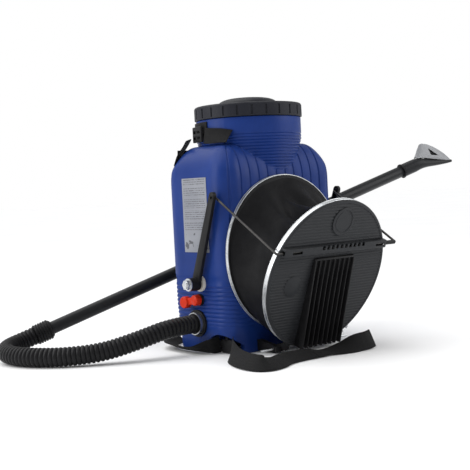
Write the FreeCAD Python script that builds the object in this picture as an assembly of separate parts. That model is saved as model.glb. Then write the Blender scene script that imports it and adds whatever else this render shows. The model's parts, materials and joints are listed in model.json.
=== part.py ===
"""Knapsack bellows duster: a blow-moulded hopper worn on the back, a hinged bellows behind it that a
hand lever pumps through a wire bail, and a hose and lance that carry the powder-laden air.

Units are millimetres. The origin is the middle of the hopper's base, on the floor. +X is the wearer's
right, +Y is towards the wearer (the harness side) and +Z is up. The bellows is on the -Y side.
Every piece is one named STEP file in parts/.
"""
import FreeCAD
import Part
import math
import os

V = FreeCAD.Vector
X_AXIS, Y_AXIS, Z_AXIS = V(1, 0, 0), V(0, 1, 0), V(0, 0, 1)

# ---- driving sizes: hopper ------------------------------------------------------------------------
HALF_WIDTH = 163.0          # hopper, left to right
HALF_DEPTH = 98.0           # hopper, front to back
CORNER_R = 55.0             # vertical corners
BODY_TOP = 440.0            # top of the shoulders
SHOULDER_R = 50.0           # rounding of the shoulders
WALL = 4.0                  # moulded wall
FLOOR_Z = 36.0              # inside floor of the hopper
COLLAR_R = 116.0            # plain collar under the cap
COLLAR_TOP = BODY_TOP + 57.0
BIB_Z = BODY_TOP - 65.0      # where the conical bib under the collar starts
BIB_TOP = BODY_TOP + 10.0
BIB_R = COLLAR_R - 21.0
NECK_R = COLLAR_R - 7.0      # threaded neck inside the cap
NECK_TOP = COLLAR_TOP + 23.0
MOUTH_R = NECK_R - 10.0      # clear bore of the filler mouth
RECESS_TOP = 38.0           # arched strap recess in each rear corner of the base
RECESS_DEPTH = 35.0
RECESS_FRONT_Y = -16.0
WEB = 8.0                   # crossed webs under the base
LABEL_LOW, LABEL_HIGH = BODY_TOP - 226.0, BODY_TOP - 68.0
LABEL_HALF = HALF_DEPTH - CORNER_R - 2.0
FAR = 400.0                 # past every outside face

# ---- driving sizes: cap ---------------------------------------------------------------------------
CAP_R = COLLAR_R + 3.0
CAP_HEIGHT = 30.0
CAP_PLATE = 4.0
CAP_GRIPS = 24
CAP_DOME_R = CAP_R / 2 + 1.5
CAP_DOME_HEIGHT = 13.0
GASKET_WIDTH = 9.0
GASKET_THICK = 2.8

# ---- driving sizes: bellows -----------------------------------------------------------------------
BACK_RING_R = 166.0         # fixed plate on the hopper
BACK_RING_Z = BACK_RING_R + 37.8
BACK_PLATE = 6.0
PLATE_SCREW_R = 95.0        # pitch circle of the plate's screws
HINGE_Y, HINGE_Z = -HALF_DEPTH - 49.0, 10.0
HINGE_ROD_R = 2.5
HINGE_ROD_HALF = 128.0
HINGE_ARM_X = 85.0          # middle of each bracket
HINGE_ARM_W = 14.0
BOARD_TILT = 21.0           # degrees from upright at rest, top leaning away
BOARD_R = BACK_RING_R - 3.0
BOARD_CENTRE = BOARD_R + 2.0    # up the board from the hinge
BOARD_RIM = 14.0            # rim depth
BOARD_FACE = 4.0            # face thickness
BOARD_SET = 4.0             # inner edge of the rim, outside the hinge plane
BOARD_RIM_WALL = 12.0
BAND_W = 10.0
BAND_T = 2.0
BAND_SCREW_R = 2.0
BAND_EAR = 9.0              # ears' screw, out from the band
BAND_SCREW_ANGLE = -36.0    # from the lowest point, towards the left
SKIN_T = 2.5
CROSSBAR_UP = BOARD_CENTRE + 63.0   # wire channel, up the board from the hinge
CROSSBAR_OUT = 24.0         # wire channel, out from the hinge plane
CROSSBAR_H = 17.0
CROSSBAR_T = 12.0
CROSSBAR_HALF = BOARD_R - 14.0
FIN_COUNT = 9
FIN_PITCH = 14.0
FIN_T = 3.0
FIN_TOP, FIN_BOTTOM = CROSSBAR_UP - 14.0, 12.0
FIN_DEPTH_TOP, FIN_DEPTH_BOTTOM = 7.0, 24.0
INTAKE_HALF_W = 42.0
INTAKE_LOW, INTAKE_HIGH = 84.0, 146.0

# ---- driving sizes: pump linkage ------------------------------------------------------------------
CRANK_Y, CRANK_Z = -7.0, 148.0
SHAFT_R = 7.0
ARM_TIP_Y, ARM_TIP_Z = CRANK_Y - 68.0, CRANK_Z + 181.0     # bail holes in the arms
ARM_W, ARM_T = 22.0, 8.0
ARM_LEFT_X, ARM_RIGHT_X = -HALF_WIDTH - 17.0, HALF_WIDTH + 27.0   # left arm's outside, right arm's inside
HUB_R = 14.0
BAIL_R = 2.5
BAIL_LEFT_X, BAIL_RIGHT_X = ARM_LEFT_X + 12.5, ARM_RIGHT_X - 6.0
LEVER_R = 10.0
LEVER_WALL = 1.5
LEVER_X = HALF_WIDTH + 16.0
LEVER_LENGTH = 345.0
LEVER_RISE = 8.0            # degrees above level at rest
GRIP_R = 15.0
GRIP_LENGTH = 110.0

# ---- driving sizes: air path, dosing, hose and lance ----------------------------------------------
DUCT_Y, DUCT_Z = 8.0, 62.0
DUCT_R, DUCT_WALL = 22.0, 3.0
KNOB_Y, KNOB_Z = -2.0, 113.0
KNOB_R = 14.0
GATE_R = 22.0
SEAT_X = -HALF_WIDTH + 45.0
SPINDLE_R = 5.0
PORT_R = 6.5                # powder port in the chute
PORT_DROP = 13.0            # below the spindle
AIR_PORT_R = 14.0           # air port in the fixed plate
HOSE_R = 20.0
HOSE_BORE_R = 15.5
LANCE_R = 14.25
LANCE_WALL = 1.6
LANCE_FOOT = V(-HALF_WIDTH - 215.0, HALF_DEPTH + 182.0, 53.0)
LANCE_HEAD = V(HALF_WIDTH + 394.0, HALF_DEPTH - 95.0, 379.0)
CUFF_R = HOSE_R + 2.5
CUFF_LENGTH = 40.0
CUFF_BACK = 26.0            # how far the cuff starts behind the lance's foot
NOZZLE_R = 16.8
NOZZLE_SOCKET = 51.0
NOZZLE_REACH = 107.0
HOSE_ON_FLOOR = HOSE_R + 0.5
HOSE_ROUTE = [V(-HALF_WIDTH, 0, 0) + step for step in (
    V(-13, DUCT_Y, DUCT_Z), V(-75, DUCT_Y, DUCT_Z), V(-143, 27, 43), V(-212, 56, HOSE_ON_FLOOR + 4.5),
    V(-278, 100, HOSE_ON_FLOOR), V(-317, HALF_DEPTH + 53, HOSE_ON_FLOOR),
    V(-334, HALF_DEPTH + 104, HOSE_ON_FLOOR), V(-332.5, HALF_DEPTH + 150, HOSE_ON_FLOOR + 2),
    V(-309, HALF_DEPTH + 185, HOSE_ON_FLOOR + 6.5), V(-271.4, HALF_DEPTH + 198.7, 33.4),
    V(-238.6, HALF_DEPTH + 189, 44.8))]

# ---- driving sizes: harness -----------------------------------------------------------------------
STRAP_W, STRAP_T = 38.0, 2.0
STRAP_X = HALF_WIDTH - 58.0  # middle of each shoulder strap
HOOK_SET = 18.0             # hook plates, in from the sides
STRAP_EDGE_Z = 20.0         # middle of the webbing that stands on its edge

# ---- clearances -----------------------------------------------------------------------------------
RUNNING = 0.08              # shaft in bush, radial
LOOSE = 0.4                 # between moving faces
CHANNEL_SLACK = 2.0         # bail wire in the crossbar, each way: room for the opened linkage


def box(x0, x1, y0, y1, z0, z1):
    return Part.makeBox(x1 - x0, y1 - y0, z1 - z0, V(x0, y0, z0))


def rod(start, end, radius, bore=0.0):
    """Round bar or tube between two points."""
    axis = end - start
    solid = Part.makeCylinder(radius, axis.Length, start, axis)
    if bore:
        over = axis.normalize() * 1.0
        solid = solid.cut(Part.makeCylinder(bore, (end - start).Length + 2, start - over, end - start))
    return solid


def fuse(shapes):
    return shapes[0].multiFuse(shapes[1:]).removeSplitter() if len(shapes) > 1 else shapes[0]


def prism(points, vector):
    """Closed polygon pushed along a vector."""
    return Part.Face(Part.makePolygon(points + [points[0]])).extrude(vector)


def rounded_slab(half_x, half_y, radius, z0, z1, top_fillet=0.0):
    """Upright slab with rounded corners and, if asked, a rounded top edge."""
    slab = box(-half_x, half_x, -half_y, half_y, z0, z1)
    uprights = [e for e in slab.Edges if abs(e.Vertexes[0].Z - e.Vertexes[1].Z) > 1]
    slab = slab.makeFillet(radius, uprights)
    if top_fillet:
        slab = slab.makeFillet(top_fillet, [e for e in slab.Edges if e.BoundBox.ZMin > z1 - 0.01])
    return slab


def ring_y(radius, bore, x, y0, y1, z):
    """Flat ring whose axis runs front to back."""
    return rod(V(x, y0, z), V(x, y1, z), radius, bore)


def bar_x(x0, x1, y, z, radius, bore=0.0):
    return rod(V(x0, y, z), V(x1, y, z), radius, bore)


def ribbon(points, across, width=STRAP_W, thick=STRAP_T):
    """Flat webbing through points; across gives the direction of its width at each point."""
    frames, last = [], len(points) - 1
    for i, point in enumerate(points):
        along = (points[min(i + 1, last)] - points[max(i - 1, 0)]).normalize()
        side = V(across[i]).normalize()
        side = (side - along * side.dot(along)).normalize() * (width / 2)
        flat = along.cross(side).normalize() * (thick / 2)
        frames.append([point + side + flat, point - side + flat, point - side - flat, point + side - flat])
    triangles = []
    for near, far in zip(frames, frames[1:]):
        for i, j in ((0, 1), (1, 2), (3, 0)):
            triangles += [(near[i], near[j], far[j]), (near[i], far[j], far[i])]
        triangles += [(near[2], near[3], far[2]), (near[3], far[3], far[2])]
    for end in (frames[0], frames[-1]):
        triangles += [(end[0], end[1], end[2]), (end[0], end[2], end[3])]
    faces = [Part.Face(Part.makePolygon([a, b, c, a])) for a, b, c in triangles]
    solid = Part.Solid(Part.Shell(faces))
    return solid if solid.Volume > 0 else Part.Solid(Part.Shell([f.reversed() for f in faces]))


def route_wire(points):
    """Straight runs joined by tangent arcs, each as large as its two runs allow. Returns wire and radii."""
    edges, radii, at = [], [], points[0]
    for before, corner, after in zip(points, points[1:], points[2:]):
        incoming, outgoing = (corner - before).normalize(), (after - corner).normalize()
        half_turn = incoming.getAngle(outgoing) / 2
        trim = 0.45 * min((corner - before).Length, (after - corner).Length)
        radii.append(trim / math.tan(half_turn))
        start, end = corner - incoming * trim, corner + outgoing * trim
        bulge = (outgoing - incoming).normalize()
        middle = corner + bulge * (radii[-1] / math.cos(half_turn) - radii[-1])
        edges += [Part.LineSegment(at, start).toShape(), Part.Arc(start, middle, end).toShape()]
        at = end
    edges.append(Part.LineSegment(at, points[-1]).toShape())
    return Part.Wire(edges), radii


def pipe(points, radius, bore=0.0):
    """Round tube along a route."""
    path, radii = route_wire(points)
    first = (points[1] - points[0]).normalize()
    solids = []
    for size in [radius] + ([bore] if bore else []):
        profile = Part.Wire([Part.makeCircle(size, points[0], first)])
        solids.append(path.makePipeShell([profile], True, False))
    return (solids[0].cut(solids[1]) if bore else solids[0]), path, radii


def board_place(shape):
    """Moves a piece drawn upright, hinge at the origin and outer face towards -Y, onto the tilted board."""
    placed = shape.copy()
    placed.rotate(V(0, 0, 0), X_AXIS, BOARD_TILT)
    placed.translate(V(0, HINGE_Y, HINGE_Z))
    return placed


def board_point(x, y, z):
    """World point of a point given in the upright board's own axes."""
    turn = math.radians(BOARD_TILT)
    along, up = V(0, math.cos(turn), math.sin(turn)), V(0, -math.sin(turn), math.cos(turn))
    return V(x, HINGE_Y, HINGE_Z) + along * y + up * z


# ---- hopper ---------------------------------------------------------------------------------------
def tank():
    """Hollow hopper: shoulders, conical bib, collar, threaded neck, base skirt and crossed webs."""
    outer = rounded_slab(HALF_WIDTH, HALF_DEPTH, CORNER_R, 0, BODY_TOP, SHOULDER_R)
    outer = fuse([
        outer,
        Part.makeCone(BIB_R, COLLAR_R, BIB_TOP - BIB_Z, V(0, 0, BIB_Z)),
        Part.makeCylinder(COLLAR_R, COLLAR_TOP - BIB_TOP, V(0, 0, BIB_TOP)),
        Part.makeCylinder(NECK_R, NECK_TOP - COLLAR_TOP, V(0, 0, COLLAR_TOP)),
    ])
    inside = rounded_slab(HALF_WIDTH - WALL, HALF_DEPTH - WALL, CORNER_R - WALL, FLOOR_Z, BODY_TOP - WALL,
                          SHOULDER_R - WALL)
    for side in (-1, 1):
        x_out, x_in = side * (HALF_WIDTH + 5), side * (HALF_WIDTH - RECESS_DEPTH - WALL)
        inside = inside.cut(box(min(x_out, x_in), max(x_out, x_in), -HALF_DEPTH - 5, RECESS_FRONT_Y + WALL,
                                0, RECESS_TOP + WALL))
    inside = fuse([
        inside,
        Part.makeCone(BIB_R - WALL, COLLAR_R - WALL, BIB_TOP - BIB_Z, V(0, 0, BIB_Z)),
        Part.makeCylinder(COLLAR_R - WALL, COLLAR_TOP - WALL - BIB_TOP, V(0, 0, BIB_TOP)),
        Part.makeCylinder(MOUTH_R, NECK_TOP - COLLAR_TOP + 20, V(0, 0, COLLAR_TOP - 10)),
    ])
    shell = outer.cut(inside)
    skirt = WALL + 2
    under = rounded_slab(HALF_WIDTH - skirt, HALF_DEPTH - skirt, CORNER_R - skirt, -1, FLOOR_Z - WALL)
    under = under.cut(box(-WEB / 2, WEB / 2, -FAR, FAR, -2, 100))
    under = under.cut(box(-FAR, FAR, -WEB / 2, WEB / 2, -2, 100))
    shell = shell.cut(under)
    for side in (-1, 1):
        x_out, x_in = side * (HALF_WIDTH + 5), side * (HALF_WIDTH - RECESS_DEPTH)
        shell = shell.cut(box(min(x_out, x_in), max(x_out, x_in), -HALF_DEPTH - 5, RECESS_FRONT_Y,
                              -1, RECESS_TOP))
    shell = shell.cut(bar_x(-FAR, FAR, CRANK_Y, CRANK_Z, SHAFT_R + 4))
    shell = shell.cut(bar_x(-FAR, SEAT_X, KNOB_Y, KNOB_Z, KNOB_R / 2 + 1))
    shell = shell.cut(bar_x(-FAR, SEAT_X, DUCT_Y, DUCT_Z, DUCT_R + 0.2))
    return shell.cut(rod(V(0, -FAR, DUCT_Z), V(0, -HALF_DEPTH + 30, DUCT_Z), DUCT_R + 0.2))


def neck_thread():
    """Two raised rings that stand for the neck's thread."""
    return Part.makeCompound([
        Part.makeCylinder(NECK_R + 1.4, 2.4, V(0, 0, COLLAR_TOP + up)).cut(
            Part.makeCylinder(NECK_R, 4, V(0, 0, COLLAR_TOP + up - 1))) for up in (7.0, 15.0)
    ])


def filler_cap():
    """Screw cap with grip slots round its skirt and a raised round hand grip."""
    base = COLLAR_TOP + LOOSE
    skirt_bore = NECK_R + 2.2
    cap = Part.makeCylinder(CAP_R, CAP_HEIGHT, V(0, 0, base))
    top_edge = [e for e in cap.Edges if e.BoundBox.ZMin > base + CAP_HEIGHT - 0.01 and e.Closed]
    cap = cap.makeFillet(4.0, top_edge)
    dome = Part.makeCone(CAP_DOME_R, CAP_DOME_R - 9, CAP_DOME_HEIGHT, V(0, 0, base + CAP_HEIGHT - 0.5))
    cap = cap.fuse(dome)
    cap = cap.cut(Part.makeCylinder(skirt_bore, CAP_HEIGHT - CAP_PLATE, V(0, 0, base - 0.01)))
    slot = box(CAP_R - 2.5, CAP_R + 5, -2.5, 2.5, base + 3, base + CAP_HEIGHT - 8)
    for i in range(CAP_GRIPS):
        cutter = slot.copy()
        cutter.rotate(V(0, 0, 0), Z_AXIS, i * 360.0 / CAP_GRIPS)
        cap = cap.cut(cutter)
    return cap


def cap_gasket():
    """Flat seal between the neck's rim and the cap."""
    base = NECK_TOP + LOOSE
    return Part.makeCylinder(NECK_R - 0.5, GASKET_THICK, V(0, 0, base)).cut(
        Part.makeCylinder(NECK_R - 0.5 - GASKET_WIDTH, GASKET_THICK + 2, V(0, 0, base - 1)))


def tank_label():
    """Plain data plate stuck on the left side."""
    return box(-HALF_WIDTH - 0.8, -HALF_WIDTH, -LABEL_HALF, LABEL_HALF, LABEL_LOW, LABEL_HIGH)


# ---- bellows: fixed side --------------------------------------------------------------------------
PLATE_Y = -HALF_DEPTH - BACK_PLATE          # outer face of the fixed plate


def bellows_back_plate():
    """Round plate screwed to the hopper, with the air port and two lugs for the outlet flap's pin."""
    plate = ring_y(BACK_RING_R, 0, 0, PLATE_Y, -HALF_DEPTH, BACK_RING_Z)
    plate = plate.cut(rod(V(0, PLATE_Y - 1, DUCT_Z), V(0, 0, DUCT_Z), AIR_PORT_R))
    lugs = [box(x - 1, x + 1, -HALF_DEPTH, FLAP_PIN_Y + 3, FLAP_PIN_Z - 3, FLAP_PIN_Z + 3) for x in (-9, 9)]
    plate = fuse([plate] + lugs)
    return plate.cut(bar_x(-12, 12, FLAP_PIN_Y, FLAP_PIN_Z, 1.5))


FLAP_PIN_Y, FLAP_PIN_Z = -HALF_DEPTH + 3.6, DUCT_Z + 13.0


def outlet_flap():
    """Light check valve that opens towards the hopper when the bellows closes."""
    y0 = -HALF_DEPTH + LOOSE + 0.1
    disc = rod(V(0, y0, DUCT_Z), V(0, y0 + 1.8, DUCT_Z), 16.0)
    disc = disc.cut(box(-20, 20, y0 - 1, y0 + 5, FLAP_PIN_Z + 1, FLAP_PIN_Z + 20))
    for side in (-1, 1):
        disc = disc.cut(rod(V(side * 14, y0 - 1, FLAP_PIN_Z), V(side * 14, y0 + 5, FLAP_PIN_Z), 7.0))
    eye = bar_x(-7, 7, FLAP_PIN_Y, FLAP_PIN_Z, 3.0)
    flap = disc.fuse(eye)
    return flap.cut(bar_x(-20, 20, FLAP_PIN_Y, FLAP_PIN_Z, 1.5 + RUNNING))


def outlet_flap_pin():
    return bar_x(-10.5, 10.5, FLAP_PIN_Y, FLAP_PIN_Z, 1.5)


def band(radius, y0, y1, z, lug_angle):
    """Clamp band with two upright ears at its lowest point, drawn round a front-to-back axis."""
    hoop = ring_y(radius + BAND_T, radius, 0, y0, y1, z)
    ears = []
    for side in (-1, 1):
        ear = box(side * 6 - 1, side * 6 + 1, y0, y1, z - radius - BAND_EAR - 5, z - radius - 1)
        ear.rotate(V(0, 0, z), Y_AXIS, lug_angle)
        ears.append(ear)
    gap = box(-5, 5, y0 - 1, y1 + 1, z - radius - 5, z - radius + 5)
    hole = bar_x(-16, 16, (y0 + y1) / 2, z - radius - BAND_EAR, BAND_SCREW_R)
    for cutter in (gap, hole):
        cutter.rotate(V(0, 0, z), Y_AXIS, lug_angle)
    return fuse([hoop] + ears).cut(gap).cut(hole)


def band_screw(radius, y0, y1, z, lug_angle):
    """Screw and nut that close a clamp band."""
    y, low = (y0 + y1) / 2, z - radius - BAND_EAR
    screw = fuse([bar_x(-16, 16, y, low, BAND_SCREW_R), bar_x(-13, -7, y, low, 3.6),
                  bar_x(7, 11, y, low, 3.6)])
    screw.rotate(V(0, 0, z), Y_AXIS, lug_angle)
    return screw


BACK_BAND = (BACK_RING_R, PLATE_Y - 2, PLATE_Y - 2 + BAND_W - 2.5, BACK_RING_Z, BAND_SCREW_ANGLE)
BOARD_BAND = (BOARD_R, -BOARD_SET - BAND_W, -BOARD_SET, BOARD_CENTRE, BAND_SCREW_ANGLE)


def bellows_skin():
    """Leathercloth sleeve from the fixed ring to the board, as one hollow leaning drum."""
    def hoop(radius, board_y, plate_y):
        low = Part.makeCircle(radius, V(0, plate_y, BACK_RING_Z), Y_AXIS)
        turn = math.radians(BOARD_TILT)
        normal = V(0, math.cos(turn), math.sin(turn))
        high = Part.makeCircle(radius - 6, board_point(0, board_y, BOARD_CENTRE), normal)
        return Part.makeLoft([Part.Wire([low]), Part.Wire([high])], True, True)
    outside = hoop(BACK_RING_R - 2, -BOARD_SET + 1.0, PLATE_Y - 0.5)
    inside = hoop(BACK_RING_R - 2 - SKIN_T, -BOARD_SET - 3, PLATE_Y + 4)
    return outside.cut(inside)


def hinge_brackets():
    """Two arms from the foot of the hopper that carry the hinge rod."""
    pieces = []
    for side in (-1, 1):
        x0 = side * HINGE_ARM_X - HINGE_ARM_W / 2
        outline = [V(x0, -HALF_DEPTH + 8, 3), V(x0, HINGE_Y - 8, 3), V(x0, HINGE_Y - 8, HINGE_Z + 4),
                   V(x0, HINGE_Y + 6, HINGE_Z + 8), V(x0, -HALF_DEPTH, 26), V(x0, -HALF_DEPTH + 8, 26)]
        arm = prism(outline, V(HINGE_ARM_W, 0, 0))
        arm = arm.cut(rounded_slab(HALF_WIDTH + 0.1, HALF_DEPTH + 0.1, CORNER_R, -5, 60))
        pieces.append(arm.cut(bar_x(x0 - 1, x0 + HINGE_ARM_W + 1, HINGE_Y, HINGE_Z, HINGE_ROD_R)))
    return Part.makeCompound(pieces)


def hinge_rod():
    return bar_x(-HINGE_ROD_HALF, HINGE_ROD_HALF, HINGE_Y, HINGE_Z, HINGE_ROD_R)


def plate_screws():
    """Screw heads that hold the fixed plate to the hopper."""
    heads = []
    for i in range(6):
        turn = math.radians(60 * i + 30)
        x, z = PLATE_SCREW_R * math.cos(turn), BACK_RING_Z + PLATE_SCREW_R * math.sin(turn)
        heads.append(rod(V(x, PLATE_Y - 3, z), V(x, PLATE_Y, z), 5.5))
    return Part.makeCompound(heads)


# ---- bellows: moving board ------------------------------------------------------------------------
FACE_IN = -BOARD_SET - BOARD_RIM + BOARD_FACE      # inner side of the board's face
FACE_OUT = -BOARD_SET - BOARD_RIM                  # outer side of the board's face


def bellows_board():
    """Dished round board with the intake window and two lugs for the intake flap's pin."""
    disc = ring_y(BOARD_R, 0, 0, FACE_OUT, -BOARD_SET, BOARD_CENTRE)
    disc = disc.cut(ring_y(BOARD_R - BOARD_RIM_WALL, 0, 0, FACE_IN, 20, BOARD_CENTRE))
    disc = disc.cut(box(-INTAKE_HALF_W, INTAKE_HALF_W, FACE_OUT - 1, FACE_IN + 1, INTAKE_LOW, INTAKE_HIGH))
    lugs = [box(x - 2, x + 2, FACE_IN - 0.5, INTAKE_PIN_Y + 3.5, INTAKE_PIN_Z - 3.5, INTAKE_PIN_Z + 3.5)
            for x in (-INTAKE_HALF_W - 9, INTAKE_HALF_W + 9)]
    disc = fuse([disc] + lugs).cut(bar_x(-80, 80, INTAKE_PIN_Y, INTAKE_PIN_Z, 1.5))
    return board_place(disc)


INTAKE_PIN_Y, INTAKE_PIN_Z = FACE_IN + 4.0, INTAKE_HIGH + 8.0


def intake_flap():
    """Check valve over the window that opens inwards when the bellows opens."""
    half = INTAKE_HALF_W + 5
    y0 = FACE_IN + LOOSE
    leaf = box(-half, half, y0, y0 + 1.8, INTAKE_LOW - 6, INTAKE_PIN_Z)
    eye = bar_x(-half, half, INTAKE_PIN_Y, INTAKE_PIN_Z, 3.2)
    flap = leaf.fuse(eye).cut(bar_x(-80, 80, INTAKE_PIN_Y, INTAKE_PIN_Z, 1.5 + RUNNING))
    return board_place(flap)


def intake_flap_pin():
    half = INTAKE_HALF_W + 11.5
    return board_place(bar_x(-half, half, INTAKE_PIN_Y, INTAKE_PIN_Z, 1.5))


def board_crossbar():
    """Channel across the board that the bail's wire lies in, with end slots and a row of notches."""
    y0, y1 = FACE_OUT - CROSSBAR_T, FACE_OUT
    bar = box(-CROSSBAR_HALF, CROSSBAR_HALF, y0, y1,
              CROSSBAR_UP - CROSSBAR_H / 2, CROSSBAR_UP + CROSSBAR_H / 2)
    half = BAIL_R + CHANNEL_SLACK
    bar = bar.cut(box(-FAR, FAR, -CROSSBAR_OUT - half, -CROSSBAR_OUT + half,
                      CROSSBAR_UP - half, CROSSBAR_UP + half))
    for x0, x1 in ((-CROSSBAR_HALF + 21, -CROSSBAR_HALF + 48), (CROSSBAR_HALF - 33, CROSSBAR_HALF - 6)):
        bar = bar.cut(box(x0, x1, y0 - 1, -CROSSBAR_OUT, CROSSBAR_UP - 3, CROSSBAR_UP + 3))
    for i in range(10):
        x0 = -46 + 13 * i
        bar = bar.cut(box(x0, x0 + 8, y0 - 1, -CROSSBAR_OUT, CROSSBAR_UP + 1, CROSSBAR_UP + 4.4))
    return board_place(bar)


def intake_fins():
    """Rain louvres over the intake window: upright fins on a shallow frame, deeper towards the bottom."""
    half = FIN_PITCH * (FIN_COUNT - 1) / 2
    fins = []
    for i in range(FIN_COUNT):
        x = -half + FIN_PITCH * i
        outline = [V(x - FIN_T / 2, FACE_OUT, FIN_TOP), V(x - FIN_T / 2, FACE_OUT - FIN_DEPTH_TOP, FIN_TOP),
                   V(x - FIN_T / 2, FACE_OUT - FIN_DEPTH_BOTTOM, FIN_BOTTOM),
                   V(x - FIN_T / 2, FACE_OUT, FIN_BOTTOM)]
        fins.append(prism(outline, V(FIN_T, 0, 0)))
    for z in (FIN_TOP - 4, INTAKE_LOW - 14, FIN_BOTTOM):
        fins.append(box(-half, half, FACE_OUT - 3, FACE_OUT, z, z + 4))
    return board_place(fuse(fins))


def board_hinge_lugs():
    """Two eyes under the board that turn on the hinge rod."""
    pieces = []
    for side in (-1, 1):
        x0 = side * (HINGE_ARM_X - HINGE_ARM_W / 2 - LOOSE - 6) - 6
        low = BOARD_CENTRE - math.sqrt(BOARD_R ** 2 - (abs(x0) + 12) ** 2)
        under_band = -BOARD_SET - BAND_W - LOOSE
        outline = [V(x0, -7, -4), V(x0, 6, -4), V(x0, 6, 7), V(x0, -5, 11), V(x0, under_band, low - 1),
                   V(x0, under_band, low + 9), V(x0, FACE_OUT, low + 9), V(x0, FACE_OUT, 3)]
        lug = prism(outline, V(12, 0, 0))
        lug = lug.cut(ring_y(BOARD_R, 0, 0, FACE_OUT - 1, 20, BOARD_CENTRE))
        lug = lug.cut(ring_y(BOARD_R + BAND_T + LOOSE, 0, 0, under_band, 20, BOARD_CENTRE))
        pieces.append(lug.cut(bar_x(x0 - 1, x0 + 13, 0, 0, HINGE_ROD_R + RUNNING)))
    return board_place(Part.makeCompound(pieces))


# ---- pump linkage ---------------------------------------------------------------------------------
ARM_UP = V(0, ARM_TIP_Y - CRANK_Y, ARM_TIP_Z - CRANK_Z).normalize()
ARM_SIDE = X_AXIS.cross(ARM_UP).normalize()


def crank_arm(x0, hub_x0, hub_x1):
    """Flat arm from the shaft to the bail hole, with a long hub."""
    foot, tip = V(x0, CRANK_Y, CRANK_Z), V(x0, ARM_TIP_Y, ARM_TIP_Z) + ARM_UP * 13
    half = ARM_SIDE * (ARM_W / 2)
    bar = prism([foot - half, foot + half, tip + half * 0.7, tip - half * 0.7], V(ARM_T, 0, 0))
    arm = fuse([bar, bar_x(hub_x0, hub_x1, CRANK_Y, CRANK_Z, HUB_R),
                bar_x(x0, x0 + ARM_T, CRANK_Y, CRANK_Z, HUB_R)])
    arm = arm.cut(bar_x(-FAR, FAR, CRANK_Y, CRANK_Z, SHAFT_R))
    return arm.cut(bar_x(x0 - 1, x0 + ARM_T + 1, ARM_TIP_Y, ARM_TIP_Z, BAIL_R + RUNNING))


LEFT_HUB_END = ARM_LEFT_X - 16.0
RIGHT_HUB_END = ARM_RIGHT_X + ARM_T + 3.0


def crank_shaft():
    return bar_x(LEFT_HUB_END - 11, RIGHT_HUB_END + 11, CRANK_Y, CRANK_Z, SHAFT_R)


def crank_washers():
    return Part.makeCompound([bar_x(LEFT_HUB_END - 2, LEFT_HUB_END, CRANK_Y, CRANK_Z, 13.5, SHAFT_R),
                              bar_x(RIGHT_HUB_END, RIGHT_HUB_END + 2, CRANK_Y, CRANK_Z, 13.5, SHAFT_R)])


def hex_nut(x0, x1):
    turns = [math.radians(60 * i) for i in range(6)]
    corners = [V(x0, CRANK_Y + 11 * math.cos(turn), CRANK_Z + 11 * math.sin(turn)) for turn in turns]
    return prism(corners, V(x1 - x0, 0, 0)).cut(bar_x(x0 - 1, x1 + 1, CRANK_Y, CRANK_Z, SHAFT_R))


def crank_nuts():
    return Part.makeCompound([hex_nut(LEFT_HUB_END - 9, LEFT_HUB_END - 2),
                              hex_nut(RIGHT_HUB_END + 2, RIGHT_HUB_END + 9)])


def shaft_bush(side):
    """Flanged bush that the pump shaft turns in."""
    wall = side * HALF_WIDTH
    flange = bar_x(min(wall, wall + side * 4.5), max(wall, wall + side * 4.5), CRANK_Y, CRANK_Z, 17)
    sleeve = bar_x(min(wall - side * 14, wall), max(wall - side * 14, wall), CRANK_Y, CRANK_Z, SHAFT_R + 4)
    return flange.fuse(sleeve).cut(bar_x(-FAR, FAR, CRANK_Y, CRANK_Z, SHAFT_R + RUNNING))


def lever_point(reach):
    rise = math.radians(LEVER_RISE)
    return V(LEVER_X, CRANK_Y + reach * math.cos(rise), CRANK_Z + reach * math.sin(rise))


def pump_lever():
    """Hand lever tube with a flattened eye on the shaft."""
    tube = rod(lever_point(12), lever_point(LEVER_LENGTH), LEVER_R, LEVER_R - LEVER_WALL)
    eye = bar_x(LEVER_X - LEVER_R, LEVER_X + LEVER_R, CRANK_Y, CRANK_Z, 17)
    return tube.fuse(eye).cut(bar_x(-FAR, FAR, CRANK_Y, CRANK_Z, SHAFT_R))


def pump_grip():
    """Rubber grip on the lever's end."""
    start, end = lever_point(LEVER_LENGTH - GRIP_LENGTH + 4), lever_point(LEVER_LENGTH + 5)
    return rod(start, end, GRIP_R).cut(rod(start, lever_point(LEVER_LENGTH), LEVER_R))


def agitator():
    """Comb on the shaft that keeps the powder loose."""
    pieces = [bar_x(20, 120, CRANK_Y, CRANK_Z, 11)]
    for i in range(5):
        x = 28 + 21 * i
        pieces.append(box(x - 3, x + 3, CRANK_Y - 2, CRANK_Y + 2, CRANK_Z - 48, CRANK_Z + 60))
    return fuse(pieces).cut(bar_x(0, 140, CRANK_Y, CRANK_Z, SHAFT_R))


def bail_wire():
    """U of spring wire: hooked through both arms, its middle lying in the board's crossbar."""
    anchor = board_point(0, -CROSSBAR_OUT, CROSSBAR_UP)
    left_eye = V(ARM_LEFT_X - 6, ARM_TIP_Y, ARM_TIP_Z)
    right_eye = V(ARM_RIGHT_X + ARM_T + 6, ARM_TIP_Y, ARM_TIP_Z)
    points = [left_eye, V(BAIL_LEFT_X, ARM_TIP_Y, ARM_TIP_Z), V(BAIL_LEFT_X, anchor.y, anchor.z),
              V(BAIL_RIGHT_X, anchor.y, anchor.z), V(BAIL_RIGHT_X, ARM_TIP_Y, ARM_TIP_Z), right_eye]
    pieces = [rod(a, b, BAIL_R) for a, b in zip(points, points[1:])]
    return fuse(pieces + [Part.makeSphere(BAIL_R, p) for p in points[1:-1]])


def bail_sleeve():
    """Plastic sleeve on the wire beside the board."""
    anchor = board_point(0, -CROSSBAR_OUT, CROSSBAR_UP)
    return bar_x(CROSSBAR_HALF + 2, BAIL_RIGHT_X - BAIL_R - 1, anchor.y, anchor.z, 4.5, BAIL_R)


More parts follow.
